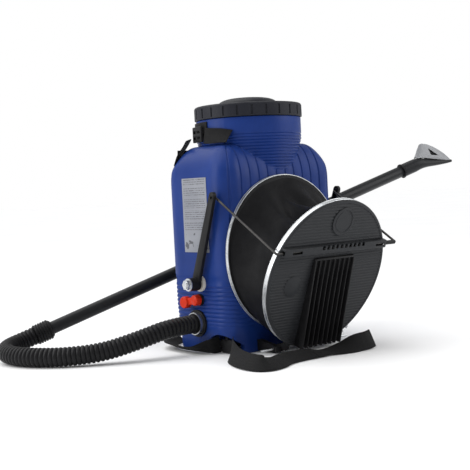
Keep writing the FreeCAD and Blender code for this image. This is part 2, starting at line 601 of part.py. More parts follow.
# ---- air path and dosing --------------------------------------------------------------------------
def air_duct():
    """Elbow from the bellows port to the hose socket, with the chute that powder drops down."""
    corner, rear, left = V(0, DUCT_Y, DUCT_Z), V(0, -HALF_DEPTH, DUCT_Z), V(-HALF_WIDTH, DUCT_Y, DUCT_Z)
    chute_x = SEAT_X + 4
    outer = fuse([rod(rear, corner, DUCT_R), rod(left, corner, DUCT_R), Part.makeSphere(DUCT_R, corner),
                  box(chute_x, chute_x + 26, DUCT_Y - 20, DUCT_Y + 16, DUCT_Z, KNOB_Z + 20)])
    bore = DUCT_R - DUCT_WALL
    inner = fuse([rod(rear - Y_AXIS, corner, bore), rod(left - X_AXIS, corner, bore),
                  Part.makeSphere(bore, corner),
                  box(chute_x + 3, chute_x + 23, DUCT_Y - 17, DUCT_Y + 13, DUCT_Z, KNOB_Z + 17)])
    port = bar_x(chute_x - 1, chute_x + 4, KNOB_Y, KNOB_Z - PORT_DROP, PORT_R)
    return outer.cut(inner).cut(port)


def metering_seat():
    """Plate with the powder port, on the side of the chute."""
    plate = box(SEAT_X + 1, SEAT_X + 4, KNOB_Y - 26, KNOB_Y + 26, KNOB_Z - 27, KNOB_Z + 26)
    return plate.cut(bar_x(SEAT_X, SEAT_X + 5, KNOB_Y, KNOB_Z - PORT_DROP, PORT_R))


def metering_gate():
    """Rotary shutter and its spindle."""
    disc = bar_x(SEAT_X + 1 - LOOSE - 3, SEAT_X + 1 - LOOSE, KNOB_Y, KNOB_Z, GATE_R)
    disc = disc.cut(bar_x(SEAT_X - 5, SEAT_X + 5, KNOB_Y, KNOB_Z - PORT_DROP, PORT_R))
    return disc.fuse(bar_x(-HALF_WIDTH - 18, SEAT_X - 2, KNOB_Y, KNOB_Z, SPINDLE_R))


def knob_bush():
    """Gland that the shutter's spindle turns in."""
    flange = bar_x(-HALF_WIDTH - 4, -HALF_WIDTH, KNOB_Y, KNOB_Z, 13)
    sleeve = bar_x(-HALF_WIDTH, -HALF_WIDTH + 10, KNOB_Y, KNOB_Z, KNOB_R / 2 + 1)
    return flange.fuse(sleeve).cut(bar_x(-FAR, 0, KNOB_Y, KNOB_Z, SPINDLE_R + RUNNING))


def dosing_knob():
    """Round knob with one finger lobe."""
    x1 = -HALF_WIDTH - 4 - LOOSE
    hub = bar_x(x1 - 16, x1, KNOB_Y, KNOB_Z, KNOB_R)
    lobe = rod(V(x1 - 13, KNOB_Y + 36, KNOB_Z - 5), V(x1 - 2, KNOB_Y + 36, KNOB_Z - 5), 11)
    neck = prism([V(x1 - 12, KNOB_Y, KNOB_Z + 8), V(x1 - 12, KNOB_Y + 36, KNOB_Z + 1),
                  V(x1 - 12, KNOB_Y + 36, KNOB_Z - 12), V(x1 - 12, KNOB_Y, KNOB_Z - 9)], V(9, 0, 0))
    return fuse([hub, neck, lobe]).cut(bar_x(-HALF_WIDTH - 18, 0, KNOB_Y, KNOB_Z, SPINDLE_R))


def hose_socket():
    """Flanged spigot on the hopper's left side that the hose pushes over."""
    start, end = V(HOSE_ROUTE[0]), V(-HALF_WIDTH, DUCT_Y, DUCT_Z)
    flange = bar_x(-HALF_WIDTH - 5, -HALF_WIDTH, DUCT_Y, DUCT_Z, HOSE_R + 9)
    return flange.fuse(rod(start, end, HOSE_R + 2)).cut(rod(start - X_AXIS, end + X_AXIS, HOSE_BORE_R))


def hose():
    tube, path, radii = pipe(HOSE_ROUTE, HOSE_R, HOSE_BORE_R)
    section = math.pi * (HOSE_R ** 2 - HOSE_BORE_R ** 2)
    print("hose radii", [round(r) for r in radii], "length", round(path.Length), "volume ratio",
          round(tube.Volume / (section * path.Length), 4))
    return tube


def hose_clamp():
    """Worm-drive band where the hose meets its socket."""
    return rod(HOSE_ROUTE[0] + X_AXIS * 7.8, HOSE_ROUTE[0] + X_AXIS * 0.2, HOSE_R + 4, HOSE_R + 2)


LANCE_ALONG = (LANCE_HEAD - LANCE_FOOT).normalize()


def hose_cuff():
    """Ribbed cuff that joins the hose to the lance."""
    start = LANCE_FOOT - LANCE_ALONG * CUFF_BACK
    return rod(start, start + LANCE_ALONG * CUFF_LENGTH, CUFF_R, LANCE_R)


def lance():
    """Long straight plastic tube."""
    start = LANCE_FOOT - LANCE_ALONG * (CUFF_BACK - 4)
    return rod(start, LANCE_HEAD, LANCE_R, LANCE_R - LANCE_WALL)


def lance_collar():
    """Stop ring near the lance's tip."""
    middle = LANCE_HEAD - LANCE_ALONG * 26
    return rod(middle - LANCE_ALONG * 5, middle, NOZZLE_R + 2.0, LANCE_R)


def nozzle_frame(along, up):
    """Point measured from the nozzle's bend: along its level reach and up."""
    level = V(LANCE_ALONG.x, LANCE_ALONG.y, 0).normalize()
    bend = LANCE_HEAD + LANCE_ALONG * (NOZZLE_SOCKET - 26)
    return bend + level * along + Z_AXIS * up


def nozzle_body():
    """Bent socket that turns on the lance, with a tapering flat-bottomed outlet."""
    socket_start = LANCE_HEAD - LANCE_ALONG * (26 - LOOSE)
    bend = nozzle_frame(0, 0)
    level = (nozzle_frame(1, 0) - bend).normalize()
    outlet = Part.makeCone(NOZZLE_R, 6.0, NOZZLE_REACH, bend, level)
    body = fuse([rod(socket_start, bend, NOZZLE_R), Part.makeSphere(NOZZLE_R, bend), outlet])
    side = level.cross(Z_AXIS)
    keep = prism([bend - level * 90 - side * 60 - Z_AXIS * 70, bend + level * 10 - side * 60 - Z_AXIS * 13,
                  bend + level * 200 - side * 60 - Z_AXIS * 10,
                  bend + level * 200 - side * 60 + Z_AXIS * 60,
                  bend - level * 90 - side * 60 + Z_AXIS * 60], side * 120)
    body = body.common(keep)
    mouth = Part.makeCone(NOZZLE_R - 3, 3.5, NOZZLE_REACH + 1, bend + Z_AXIS * 1.0, level)
    bore = rod(socket_start - LANCE_ALONG, LANCE_HEAD + LANCE_ALONG * LOOSE, LANCE_R + RUNNING)
    throat = rod(LANCE_HEAD, bend, NOZZLE_R - 3.5)
    return body.cut(bore).cut(throat).cut(mouth)


def nozzle_plate():
    """Upright curved deflector plate on the outlet, with a three-cornered opening."""
    level = (nozzle_frame(1, 0) - nozzle_frame(0, 0)).normalize()
    side = level.cross(Z_AXIS)
    rim = [nozzle_frame(a, u) for a, u in ((-4, 15.4), (8, 46), (30, 44), (60, 34), (86, 22), (104, 7.2))]
    base = [nozzle_frame(a, u) for a, u in ((60, 11.6),)]
    plate = prism([p - side * 1.2 for p in rim + base], side * 2.4)
    window = prism([nozzle_frame(a, u) - side * 5 for a, u in ((30, 37), (36, 21), (60, 18))], side * 10)
    plate = plate.cut(window)
    solid_cone = Part.makeCone(NOZZLE_R + 0.05, 6.05, NOZZLE_REACH, nozzle_frame(0, 0), level)
    return plate.cut(solid_cone).cut(Part.makeSphere(NOZZLE_R + 0.05, nozzle_frame(0, 0)))


# ---- harness --------------------------------------------------------------------------------------
def shoulder_strap(side, bulge):
    """Webbing from the neck strap to the foot of the hopper, bowed out to take an arm."""
    x = side * STRAP_X
    front = HALF_DEPTH + 2.5
    shape = ((0.991, 0.02), (0.905, 0.14), (0.795, 0.48), (0.664, 0.82), (0.505, 1.0), (0.345, 0.82),
             (0.21, 0.45), (0.118, 0.12), (0.078, 0.0))
    points = [V(x, front + bulge * share, BODY_TOP * height) for height, share in shape]
    return ribbon(points, [X_AXIS] * len(points))


def neck_strap():
    """Webbing wrapped round the front of the collar."""
    low, high = BIB_TOP + 4, BIB_TOP + 4 + STRAP_W
    loop = Part.makeCylinder(COLLAR_R + 1 + STRAP_T, high - low, V(0, 0, low), Z_AXIS, 188)
    loop = loop.cut(Part.makeCylinder(COLLAR_R + 1, high - low + 2, V(0, 0, low - 1)))
    loop.rotate(V(0, 0, 0), Z_AXIS, -8)
    return loop


def strap_buckle():
    """Ladder-lock buckle on the left of the collar."""
    plate = box(0, 6, -24, 24, -17, 17)
    for z in (-9, 2):
        plate = plate.cut(box(-1, 7, -19, 19, z, z + 6))
    plate.rotate(V(0, 0, 0), Z_AXIS, 164)
    turn = math.radians(164)
    reach = COLLAR_R + STRAP_T + 2
    plate.translate(V(reach * math.cos(turn), reach * math.sin(turn), BIB_TOP + 16))
    return plate


def strap_tail_upper():
    """Free end of the neck strap, lying back over the shoulder."""
    points = []
    for angle, out, up in ((178, 8, 12), (186.4, 8.8, 10), (198.4, 10, 9), (209.9, 14, 6)):
        turn, reach = math.radians(angle), COLLAR_R + out
        points.append(V(reach * math.cos(turn), reach * math.sin(turn), BIB_TOP + up))
    across = [V(0.1, 0, 1), V(0.2, 0.02, 0.98), V(0.43, 0.14, 0.89), V(0.56, 0.32, 0.76)]
    return ribbon(points, across, STRAP_W - 4)


def strap_shoulder_left():
    """Webbing that comes up over the left shoulder to the buckle."""
    points = [V(-HALF_WIDTH + x, HALF_DEPTH + y, BODY_TOP + z)
              for x, y, z in ((17, -6, -38), (23, -18, -16), (31, -32, 2), (35, -44, 16))]
    across = [V(1, 0.9, 0.1), V(1, 0.6, 0.1), V(0.8, 0.3, 0.3), V(0.4, -0.4, 0.8)]
    return ribbon(points, across, STRAP_W - 8)


def strap_hooks():
    """Plates in the base recesses that the lower straps are sewn to."""
    plates = []
    for side in (-1, 1):
        x0 = side * (HALF_WIDTH - HOOK_SET) - 2.5
        plate = fuse([bar_x(x0, x0 + 5, -52, 16, 14), bar_x(x0, x0 + 5, -76, 16, 14),
                      box(x0, x0 + 5, -76, -52, 2, 30), box(x0, x0 + 5, -66, -60, 2, RECESS_TOP)])
        plates.append(plate.cut(bar_x(x0 - 1, x0 + 6, -46, 12, 3)).cut(bar_x(x0 - 1, x0 + 6, -82, 12, 3)))
    return Part.makeCompound(plates)


def strap_lower_left():
    """Lower webbing from the left base hook, leaning outwards along the foot to the wearer's side."""
    points = [V(-HALF_WIDTH + x, HALF_DEPTH * share, z) for x, share, z in (
        (13, -0.47, 19), (-9, -0.39, 16.5), (-17, 0, 8.7), (-18, 0.5, 8.7), (-9, 0.98, 8.7), (15, 1.29, 11),
        (51, 1.43, 15))]
    across = [V(0, 0, 1), V(-0.5, 0, 0.85), V(-0.9, 0, 0.42), V(-0.9, 0.1, 0.42), V(-0.8, 0.4, 0.42),
              V(-0.5, 0.8, 0.5), V(-0.3, 0.7, 0.65)]
    return ribbon(points, across, STRAP_W - 4)


def strap_floor():
    """Webbing from the base hook, out on the floor beside the hinge and back, leaning as it lies."""
    points = [V(-HALF_WIDTH + x, -HALF_DEPTH + y, STRAP_EDGE_Z + z) for x, y, z in (
        (12, 8, 1), (-19, -22, -1), (-53, -69, -4), (-74, -119, -5), (-79, -162, -5), (-66, -180, -7),
        (-35, -175, -9.5), (4, -157, -10), (47, -151, -10.5), (85, -152, -11))]
    across = [V(0, 0, 1), V(0.4, 0.1, 0.91), V(0.65, -0.1, 0.75), V(0.7, -0.1, 0.71), V(0.7, 0.1, 0.71),
              V(0.35, 0.75, 0.56), V(-0.1, 0.88, 0.46), V(-0.2, 0.88, 0.43), V(0, 0.91, 0.41),
              V(0, 0.93, 0.37)]
    return ribbon(points, across)


def strap_floor_tail():
    """Cut end of the floor strap, flat at first and then lifting off the floor."""
    points = [V(-HALF_WIDTH + x, -HALF_DEPTH + y, STRAP_EDGE_Z + z) for x, y, z in (
        (85.4, -152, -11), (123, -152, -14), (159, -166, -9.4), (189, -176, -2.4), (215, -178, -0.8),
        (239, -173, 1))]
    across = [V(0, 0.93, 0.37), V(0, 0.99, 0.14), V(-0.1, 0.9, 0.42), V(-0.35, 0.5, 0.79),
              V(-0.4, 0.3, 0.87), V(-0.45, 0.25, 0.86)]
    return ribbon(points, across)


NODES = {
    "tank": tank, "neck_thread": neck_thread, "filler_cap": filler_cap, "cap_gasket": cap_gasket,
    "tank_label": tank_label, "bellows_back_plate": bellows_back_plate,
    "back_clamp_band": lambda: band(*BACK_BAND), "back_band_screw": lambda: band_screw(*BACK_BAND),
    "plate_screws": plate_screws, "bellows_skin": bellows_skin, "hinge_brackets": hinge_brackets,
    "hinge_rod": hinge_rod, "outlet_flap": outlet_flap, "outlet_flap_pin": outlet_flap_pin,
    "bellows_board": bellows_board, "board_clamp_band": lambda: board_place(band(*BOARD_BAND)),
    "board_band_screw": lambda: board_place(band_screw(*BOARD_BAND)), "board_crossbar": board_crossbar,
    "intake_fins": intake_fins, "board_hinge_lugs": board_hinge_lugs, "intake_flap": intake_flap,
    "intake_flap_pin": intake_flap_pin, "crank_shaft": crank_shaft,
    "crank_arm_left": lambda: crank_arm(ARM_LEFT_X, LEFT_HUB_END, ARM_LEFT_X + ARM_T),
    "crank_arm_right": lambda: crank_arm(ARM_RIGHT_X, LEVER_X + LEVER_R, RIGHT_HUB_END),
    "crank_washers": crank_washers, "crank_nuts": crank_nuts, "shaft_bush_left": lambda: shaft_bush(-1),
    "shaft_bush_right": lambda: shaft_bush(1), "pump_lever": pump_lever, "pump_grip": pump_grip,
    "agitator": agitator, "bail_wire": bail_wire, "bail_sleeve": bail_sleeve, "air_duct": air_duct,
    "metering_seat": metering_seat, "metering_gate": metering_gate, "knob_bush": knob_bush,
    "dosing_knob": dosing_knob, "hose_socket": hose_socket, "hose_clamp": hose_clamp, "hose": hose,
    "hose_cuff": hose_cuff, "lance": lance, "lance_collar": lance_collar, "nozzle_body": nozzle_body,
    "nozzle_plate": nozzle_plate, "shoulder_strap_left": lambda: shoulder_strap(-1, 30.0),
    "shoulder_strap_right": lambda: shoulder_strap(1, 63.0), "neck_strap": neck_strap,
    "strap_buckle": strap_buckle, "strap_tail_upper": strap_tail_upper,
    "strap_shoulder_left": strap_shoulder_left, "strap_hooks": strap_hooks,
    "strap_lower_left": strap_lower_left, "strap_floor": strap_floor, "strap_floor_tail": strap_floor_tail,
}

os.makedirs("parts", exist_ok=True)
for name, make in NODES.items():
    solid = make()
    if not solid.isValid() or not solid.Solids:
        print("NOT VALID", name)
    solid.exportStep("parts/" + name + ".step")
    print(f"{name:22s} solids {len(solid.Solids)} volume {solid.Volume / 1000:9.2f} cm3")
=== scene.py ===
"""Looks of a knapsack bellows duster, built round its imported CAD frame.

Lengths are metres, in the frame of the CAD: the origin is the middle of the hopper's base on the floor,
+X is the wearer's right, +Y is towards the wearer and +Z is up. The bellows is on the -Y side.
"""
from __future__ import annotations

import json
import logging
import math
from dataclasses import dataclass, field
from enum import Enum
from typing import Callable, Iterable, Sequence

import bpy
from mathutils import Matrix, Vector

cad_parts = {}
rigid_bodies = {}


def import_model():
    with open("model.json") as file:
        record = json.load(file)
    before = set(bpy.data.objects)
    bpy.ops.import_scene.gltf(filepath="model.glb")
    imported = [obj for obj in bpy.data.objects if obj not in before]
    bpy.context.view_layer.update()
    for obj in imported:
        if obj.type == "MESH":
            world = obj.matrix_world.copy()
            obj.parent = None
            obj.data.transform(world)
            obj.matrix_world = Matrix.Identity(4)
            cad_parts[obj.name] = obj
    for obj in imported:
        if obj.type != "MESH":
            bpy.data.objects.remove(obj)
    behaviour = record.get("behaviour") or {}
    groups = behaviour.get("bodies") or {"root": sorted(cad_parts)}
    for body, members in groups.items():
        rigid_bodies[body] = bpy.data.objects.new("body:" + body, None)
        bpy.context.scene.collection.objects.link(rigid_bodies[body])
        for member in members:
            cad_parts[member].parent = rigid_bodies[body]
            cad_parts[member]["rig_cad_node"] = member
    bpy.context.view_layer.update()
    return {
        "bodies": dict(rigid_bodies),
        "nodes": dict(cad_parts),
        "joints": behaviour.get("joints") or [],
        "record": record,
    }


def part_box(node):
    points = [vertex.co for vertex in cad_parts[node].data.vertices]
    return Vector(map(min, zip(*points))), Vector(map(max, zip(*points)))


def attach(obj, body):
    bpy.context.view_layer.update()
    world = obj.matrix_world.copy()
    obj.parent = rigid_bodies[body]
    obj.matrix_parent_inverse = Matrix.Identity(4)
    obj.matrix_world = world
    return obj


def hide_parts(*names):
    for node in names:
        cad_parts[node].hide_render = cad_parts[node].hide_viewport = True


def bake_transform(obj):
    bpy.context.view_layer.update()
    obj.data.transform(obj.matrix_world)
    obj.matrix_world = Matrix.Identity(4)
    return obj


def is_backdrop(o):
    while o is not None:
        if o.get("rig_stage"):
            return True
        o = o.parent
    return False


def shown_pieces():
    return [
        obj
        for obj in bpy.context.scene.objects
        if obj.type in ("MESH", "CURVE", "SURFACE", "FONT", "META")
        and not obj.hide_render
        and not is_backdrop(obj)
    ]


LOG = logging.getLogger("bellows_duster")
MM = 0.001
Triple = tuple[float, float, float]
Pair = tuple[float, float]


class Body(Enum):
    """The moving bodies of the duster, named as the record names them."""

    HOPPER = "hopper"
    CRANK = "pump_crank"
    BAIL = "bail"
    BOARD = "board"
    DOSING = "dosing"
    CAP = "cap"
    NOZZLE = "nozzle"


# ---- modelling ---------------------------------------------------------------------------------------
class Bench:
    """The modelling moves that every sub-assembly uses."""

    @staticmethod
    def rest() -> None:
        """Leave edit mode with nothing selected."""
        if bpy.context.object is not None and bpy.context.object.mode != "OBJECT":
            bpy.ops.object.mode_set(mode="OBJECT")
        bpy.ops.object.select_all(action="DESELECT")

    @staticmethod
    def take(piece: bpy.types.Object) -> None:
        """Make a piece the only selected one, and the active one."""
        Bench.rest()
        piece.select_set(True)
        bpy.context.view_layer.objects.active = piece

    @staticmethod
    def modify(piece: bpy.types.Object, kind: str, **settings: object) -> bpy.types.Object:
        """Put a modifier on a piece and apply it.

        Args:
            piece: The piece to change.
            kind: The modifier's type.
            settings: Values for the modifier's properties.

        Returns:
            The same piece.
        """
        Bench.take(piece)
        modifier = piece.modifiers.new(kind.lower(), kind)
        for key, value in settings.items():
            setattr(modifier, key, value)
        bpy.ops.object.modifier_apply(modifier=modifier.name)
        return piece

    @staticmethod
    def soften(piece: bpy.types.Object, width: float, segments: int = 2,
               angle: float = 30.0) -> bpy.types.Object:
        """Round a piece's sharp edges.

        Args:
            piece: The piece to change.
            width: Size of the rounding.
            segments: Steps across it.
            angle: Edges sharper than this many degrees are rounded.

        Returns:
            The same piece.
        """
        return Bench.modify(piece, "BEVEL", width=width, segments=segments, limit_method="ANGLE",
                            angle_limit=math.radians(angle), harden_normals=False)

    @staticmethod
    def cut(piece: bpy.types.Object, cutter: bpy.types.Object) -> bpy.types.Object:
        """Cut one closed shape out of another and throw the cutter away.

        Args:
            piece: The piece to cut.
            cutter: The shape that is taken away.

        Returns:
            The same piece.
        """
        Bench.modify(piece, "BOOLEAN", operation="DIFFERENCE", object=cutter, solver="EXACT")
        bpy.data.objects.remove(cutter)
        return piece

    @staticmethod
    def join(pieces: Sequence[bpy.types.Object]) -> bpy.types.Object:
        """Make several meshes one object.

        Args:
            pieces: The meshes, the first of which keeps its name.

        Returns:
            The joined object.
        """
        Bench.take(pieces[0])
        for piece in pieces[1:]:
            piece.select_set(True)
        if len(pieces) > 1:
            bpy.ops.object.join()
        return pieces[0]

    @staticmethod
    def copy(piece: bpy.types.Object, move: Matrix) -> bpy.types.Object:
        """Copy a piece with its own mesh, moved by a matrix.

        Args:
            piece: The piece that repeats.
            move: Where the copy goes.

        Returns:
            The copy, with its place in its mesh.
        """
        twin = piece.copy()
        twin.data = piece.data.copy()
        bpy.context.scene.collection.objects.link(twin)
        twin.data.transform(move)
        return twin

    @staticmethod
    def recalculate(piece: bpy.types.Object, merge: float = 0.01 * MM) -> None:
        """Close a mesh's seams and point its faces outwards.

        Args:
            piece: The mesh.
            merge: Points closer than this become one.
        """
        Bench.take(piece)
        bpy.ops.object.mode_set(mode="EDIT")
        bpy.ops.mesh.select_all(action="SELECT")
        bpy.ops.mesh.remove_doubles(threshold=merge)
        bpy.ops.mesh.normals_make_consistent(inside=False)
        bpy.ops.object.mode_set(mode="OBJECT")

    @staticmethod
    def settle(piece: bpy.types.Object, name: str, smooth: float = 35.0, move: Matrix | None = None,
               outward: bool = True) -> bpy.types.Object:
        """Name a finished piece, put its place into its mesh and smooth it.

        Args:
            piece: The piece.
            name: Its name in the scene.
            smooth: Edges flatter than this many degrees are shaded smooth.
            move: A last move, such as onto the tilted board.
            outward: Whether the faces are pointed outwards again.

        Returns:
            The same piece.
        """
        Bench.take(piece)
        if move is not None:
            piece.matrix_world = move @ piece.matrix_world
        bpy.ops.object.transform_apply(location=True, rotation=True, scale=True)
        if outward:
            Bench.recalculate(piece)
        bpy.ops.object.shade_smooth_by_angle(angle=math.radians(smooth))
        piece.name = name
        piece.data.name = name
        return piece

    @staticmethod
    def turned(profile: Sequence[Pair], foot: Vector | Triple = (0, 0, 0),
               along: Vector | Triple = (0, 0, 1),
               steps: int = 96) -> bpy.types.Object:
        """Turn a piece: a ring is extruded and scaled from step to step of its profile.

        Args:
            profile: (radius, height) pairs. A radius of 0 closes an end; ending on the first pair closes a ring.
            foot: Where height 0 is.
            along: The axis.
            steps: Corners round the axis.

        Returns:
            The turned piece.
        """
        tiny = 0.001 * MM
        radii = [max(r, tiny) for r, _ in profile]
        heights = [h for _, h in profile]
        Bench.rest()
        bpy.ops.mesh.primitive_circle_add(vertices=steps, radius=radii[0], location=(0, 0, heights[0]))
        piece = bpy.context.object
        bpy.ops.object.transform_apply(location=True)
        bpy.ops.object.mode_set(mode="EDIT")
        bpy.ops.mesh.select_all(action="SELECT")
        for r0, r1, h0, h1 in zip(radii, radii[1:], heights, heights[1:]):
            bpy.ops.mesh.extrude_region_move(TRANSFORM_OT_translate={"value": (0, 0, h1 - h0)})
            bpy.ops.transform.resize(value=(r1 / r0, r1 / r0, 1), center_override=(0, 0, h1))
        bpy.ops.object.mode_set(mode="OBJECT")
        Bench.recalculate(piece)
        turn = Vector(along).to_track_quat("Z", "Y").to_matrix().to_4x4()
        piece.data.transform(Matrix.Translation(Vector(foot)) @ turn)
        return piece

    @staticmethod
    def block(low: Triple, high: Triple, soft: float = 0.0, segments: int = 2) -> bpy.types.Object:
        """A rectangular piece with softened edges.

        Args:
            low: Its lowest corner.
            high: Its highest corner.
            soft: Size of the edge rounding.
            segments: Steps across the rounding.

        Returns:
            The piece.
        """
        Bench.rest()
        size = Vector(high) - Vector(low)
        bpy.ops.mesh.primitive_cube_add(size=1, location=(Vector(low) + Vector(high)) / 2)
        piece = bpy.context.object
        piece.scale = size
        bpy.ops.object.transform_apply(location=True, rotation=True, scale=True)
        return Bench.soften(piece, soft, segments) if soft else piece

    @staticmethod
    def plate(outline: Sequence[Vector | Triple], push: Vector | Triple, soft: float = 0.0,
              segments: int = 2) -> bpy.types.Object:
        """A flat piece cut to an outline and given its thickness.

        Args:
            outline: The corners in order.
            push: The thickness, as a vector.
            soft: Size of the edge rounding.
            segments: Steps across the rounding.

        Returns:
            The piece.
        """
        Bench.rest()
        bpy.ops.mesh.primitive_circle_add(vertices=len(outline), fill_type="NGON")
        piece = bpy.context.object
        for corner, place in zip(piece.data.vertices, outline):
            corner.co = Vector(place)
        bpy.ops.object.mode_set(mode="EDIT")
        bpy.ops.mesh.select_all(action="SELECT")
        bpy.ops.mesh.extrude_region_move(TRANSFORM_OT_translate={"value": tuple(push)})
        bpy.ops.object.mode_set(mode="OBJECT")
        Bench.recalculate(piece)
        return Bench.soften(piece, soft, segments) if soft else piece

    @staticmethod
    def tray(piece: bpy.types.Object, facing: Triple, border: float, depth: float) -> None:
        """Sink the middle of every large face that looks one way.

        Args:
            piece: The piece to change.
            facing: The way the faces look.
            border: Width of the rim that stays.
            depth: How far the middle sinks.
        """
        Bench.take(piece)
        bpy.ops.object.mode_set(mode="EDIT")
        bpy.ops.mesh.select_mode(type="FACE")
        bpy.ops.mesh.select_all(action="DESELECT")
        bpy.ops.object.mode_set(mode="OBJECT")
        way = Vector(facing).normalized()
        found = [f for f in piece.data.polygons if f.normal.dot(way) > 0.99]
        largest = max(f.area for f in found)
        for face in found:
            face.select = face.area > 0.5 * largest
        bpy.ops.object.mode_set(mode="EDIT")
        bpy.ops.mesh.inset(thickness=border, depth=0)
        bpy.ops.mesh.extrude_region_move(TRANSFORM_OT_translate={"value": tuple(-way * depth)})
        bpy.ops.mesh.select_mode(type="VERT")
        bpy.ops.object.mode_set(mode="OBJECT")

    @staticmethod
    def wrapped(columns: int, rows: int, place: Callable[[int, int], Vector],
                spread: Callable[[int, int], Pair] | None = None) -> bpy.types.Object:
        """Lay a grid over a curved form, point by point.

        Args:
            columns: Cells across.
            rows: Cells along.
            place: Gives the place of a grid point from its column and row.
            spread: Gives the point's UV, where a pattern follows the surface.

        Returns:
            The formed grid.
        """
        Bench.rest()
        bpy.ops.mesh.primitive_grid_add(x_subdivisions=columns, y_subdivisions=rows, size=1)
        piece = bpy.context.object
        mesh = piece.data
        cells = [(round((p.co.x + 0.5) * columns), round((p.co.y + 0.5) * rows)) for p in mesh.vertices]
        for point, (i, j) in zip(mesh.vertices, cells):
            point.co = place(i, j)
        if spread is not None:
            layer = mesh.uv_layers.active.data
            for loop in mesh.loops:
                layer[loop.index].uv = spread(*cells[loop.vertex_index])
        return piece

    @staticmethod
    def fill_ends(piece: bpy.types.Object) -> None:
        """Close every open end of a mesh."""
        Bench.take(piece)
        bpy.ops.object.mode_set(mode="EDIT")
        bpy.ops.mesh.select_all(action="SELECT")
        bpy.ops.mesh.remove_doubles(threshold=0.01 * MM)
        bpy.ops.mesh.fill_holes(sides=0)
        bpy.ops.object.mode_set(mode="OBJECT")


def ease(value: float) -> float:
    """Smooth step from 0 to 1."""
    value = min(1.0, max(0.0, value))
    return value * value * (3 - 2 * value)


def smooth_path(points: Sequence[Triple], steps: int) -> list[Vector]:
    """Flow through points as a strip of webbing does.

    Args:
        points: The points, in metres.
        steps: Stations between two points.

    Returns:
        The stations, both ends among them.
    """
    ps = [Vector(p) for p in points]
    ps = [ps[0] * 2 - ps[1], *ps, ps[-1] * 2 - ps[-2]]
    made = []
    for a, b, c, d in zip(ps, ps[1:], ps[2:], ps[3:]):
        for k in range(steps):
            t = k / steps
            made.append(((2 * b) + (c - a) * t + (2 * a - 5 * b + 4 * c - d) * t * t
                         + (3 * b - a - 3 * c + d) * t ** 3) / 2)
    return made + [ps[-2]]


# ---- finishes ----------------------------------------------------------------------------------------
class Desk:
    """Lays out the nodes of one material or node group."""

    def __init__(self, tree: bpy.types.NodeTree) -> None:
        """Start with an empty tree."""
        self.tree = tree
        tree.nodes.clear()

    def add(self, kind: str, inputs: dict[str | int, object] | None = None,
            **settings: object) -> bpy.types.Node:
        """Add a node.

        Args:
            kind: The node's type.
            inputs: Values or sockets for its inputs, by name or place.
            settings: Values for its properties.

        Returns:
            The node.
        """
        node = self.tree.nodes.new(kind)
        for key, value in settings.items():
            setattr(node, key, value)
        for key, value in (inputs or {}).items():
            if isinstance(value, bpy.types.NodeSocket):
                self.tree.links.new(value, node.inputs[key])
            else:
                node.inputs[key].default_value = value
        return node

    def math(self, operation: str, *values: object) -> bpy.types.NodeSocket:
        """One arithmetic step."""
        return self.add("ShaderNodeMath", dict(enumerate(values)), operation=operation).outputs[0]

    def mix(self, share: object, first: object, second: object) -> bpy.types.NodeSocket:
        """Mix two colours by a share."""
        node = self.add("ShaderNodeMix", {0: share, 6: first, 7: second}, data_type="RGBA")
        return node.outputs[2]

    def ramp(self, value: object, low: float, high: float, to_low: float = 0.0,
             to_high: float = 1.0) -> bpy.types.NodeSocket:
        """Stretch part of a value's range onto another range."""
        return self.add("ShaderNodeMapRange", {0: value, 1: low, 2: high, 3: to_low, 4: to_high}).outputs[0]

    def noise(self, vector: object, scale: object, detail: float = 3.0,
              rough: float = 0.5) -> bpy.types.NodeSocket:
        """Soft noise from 0 to 1."""
        return self.add("ShaderNodeTexNoise", {"Vector": vector, "Scale": scale, "Detail": detail,
                                               "Roughness": rough}).outputs[0]


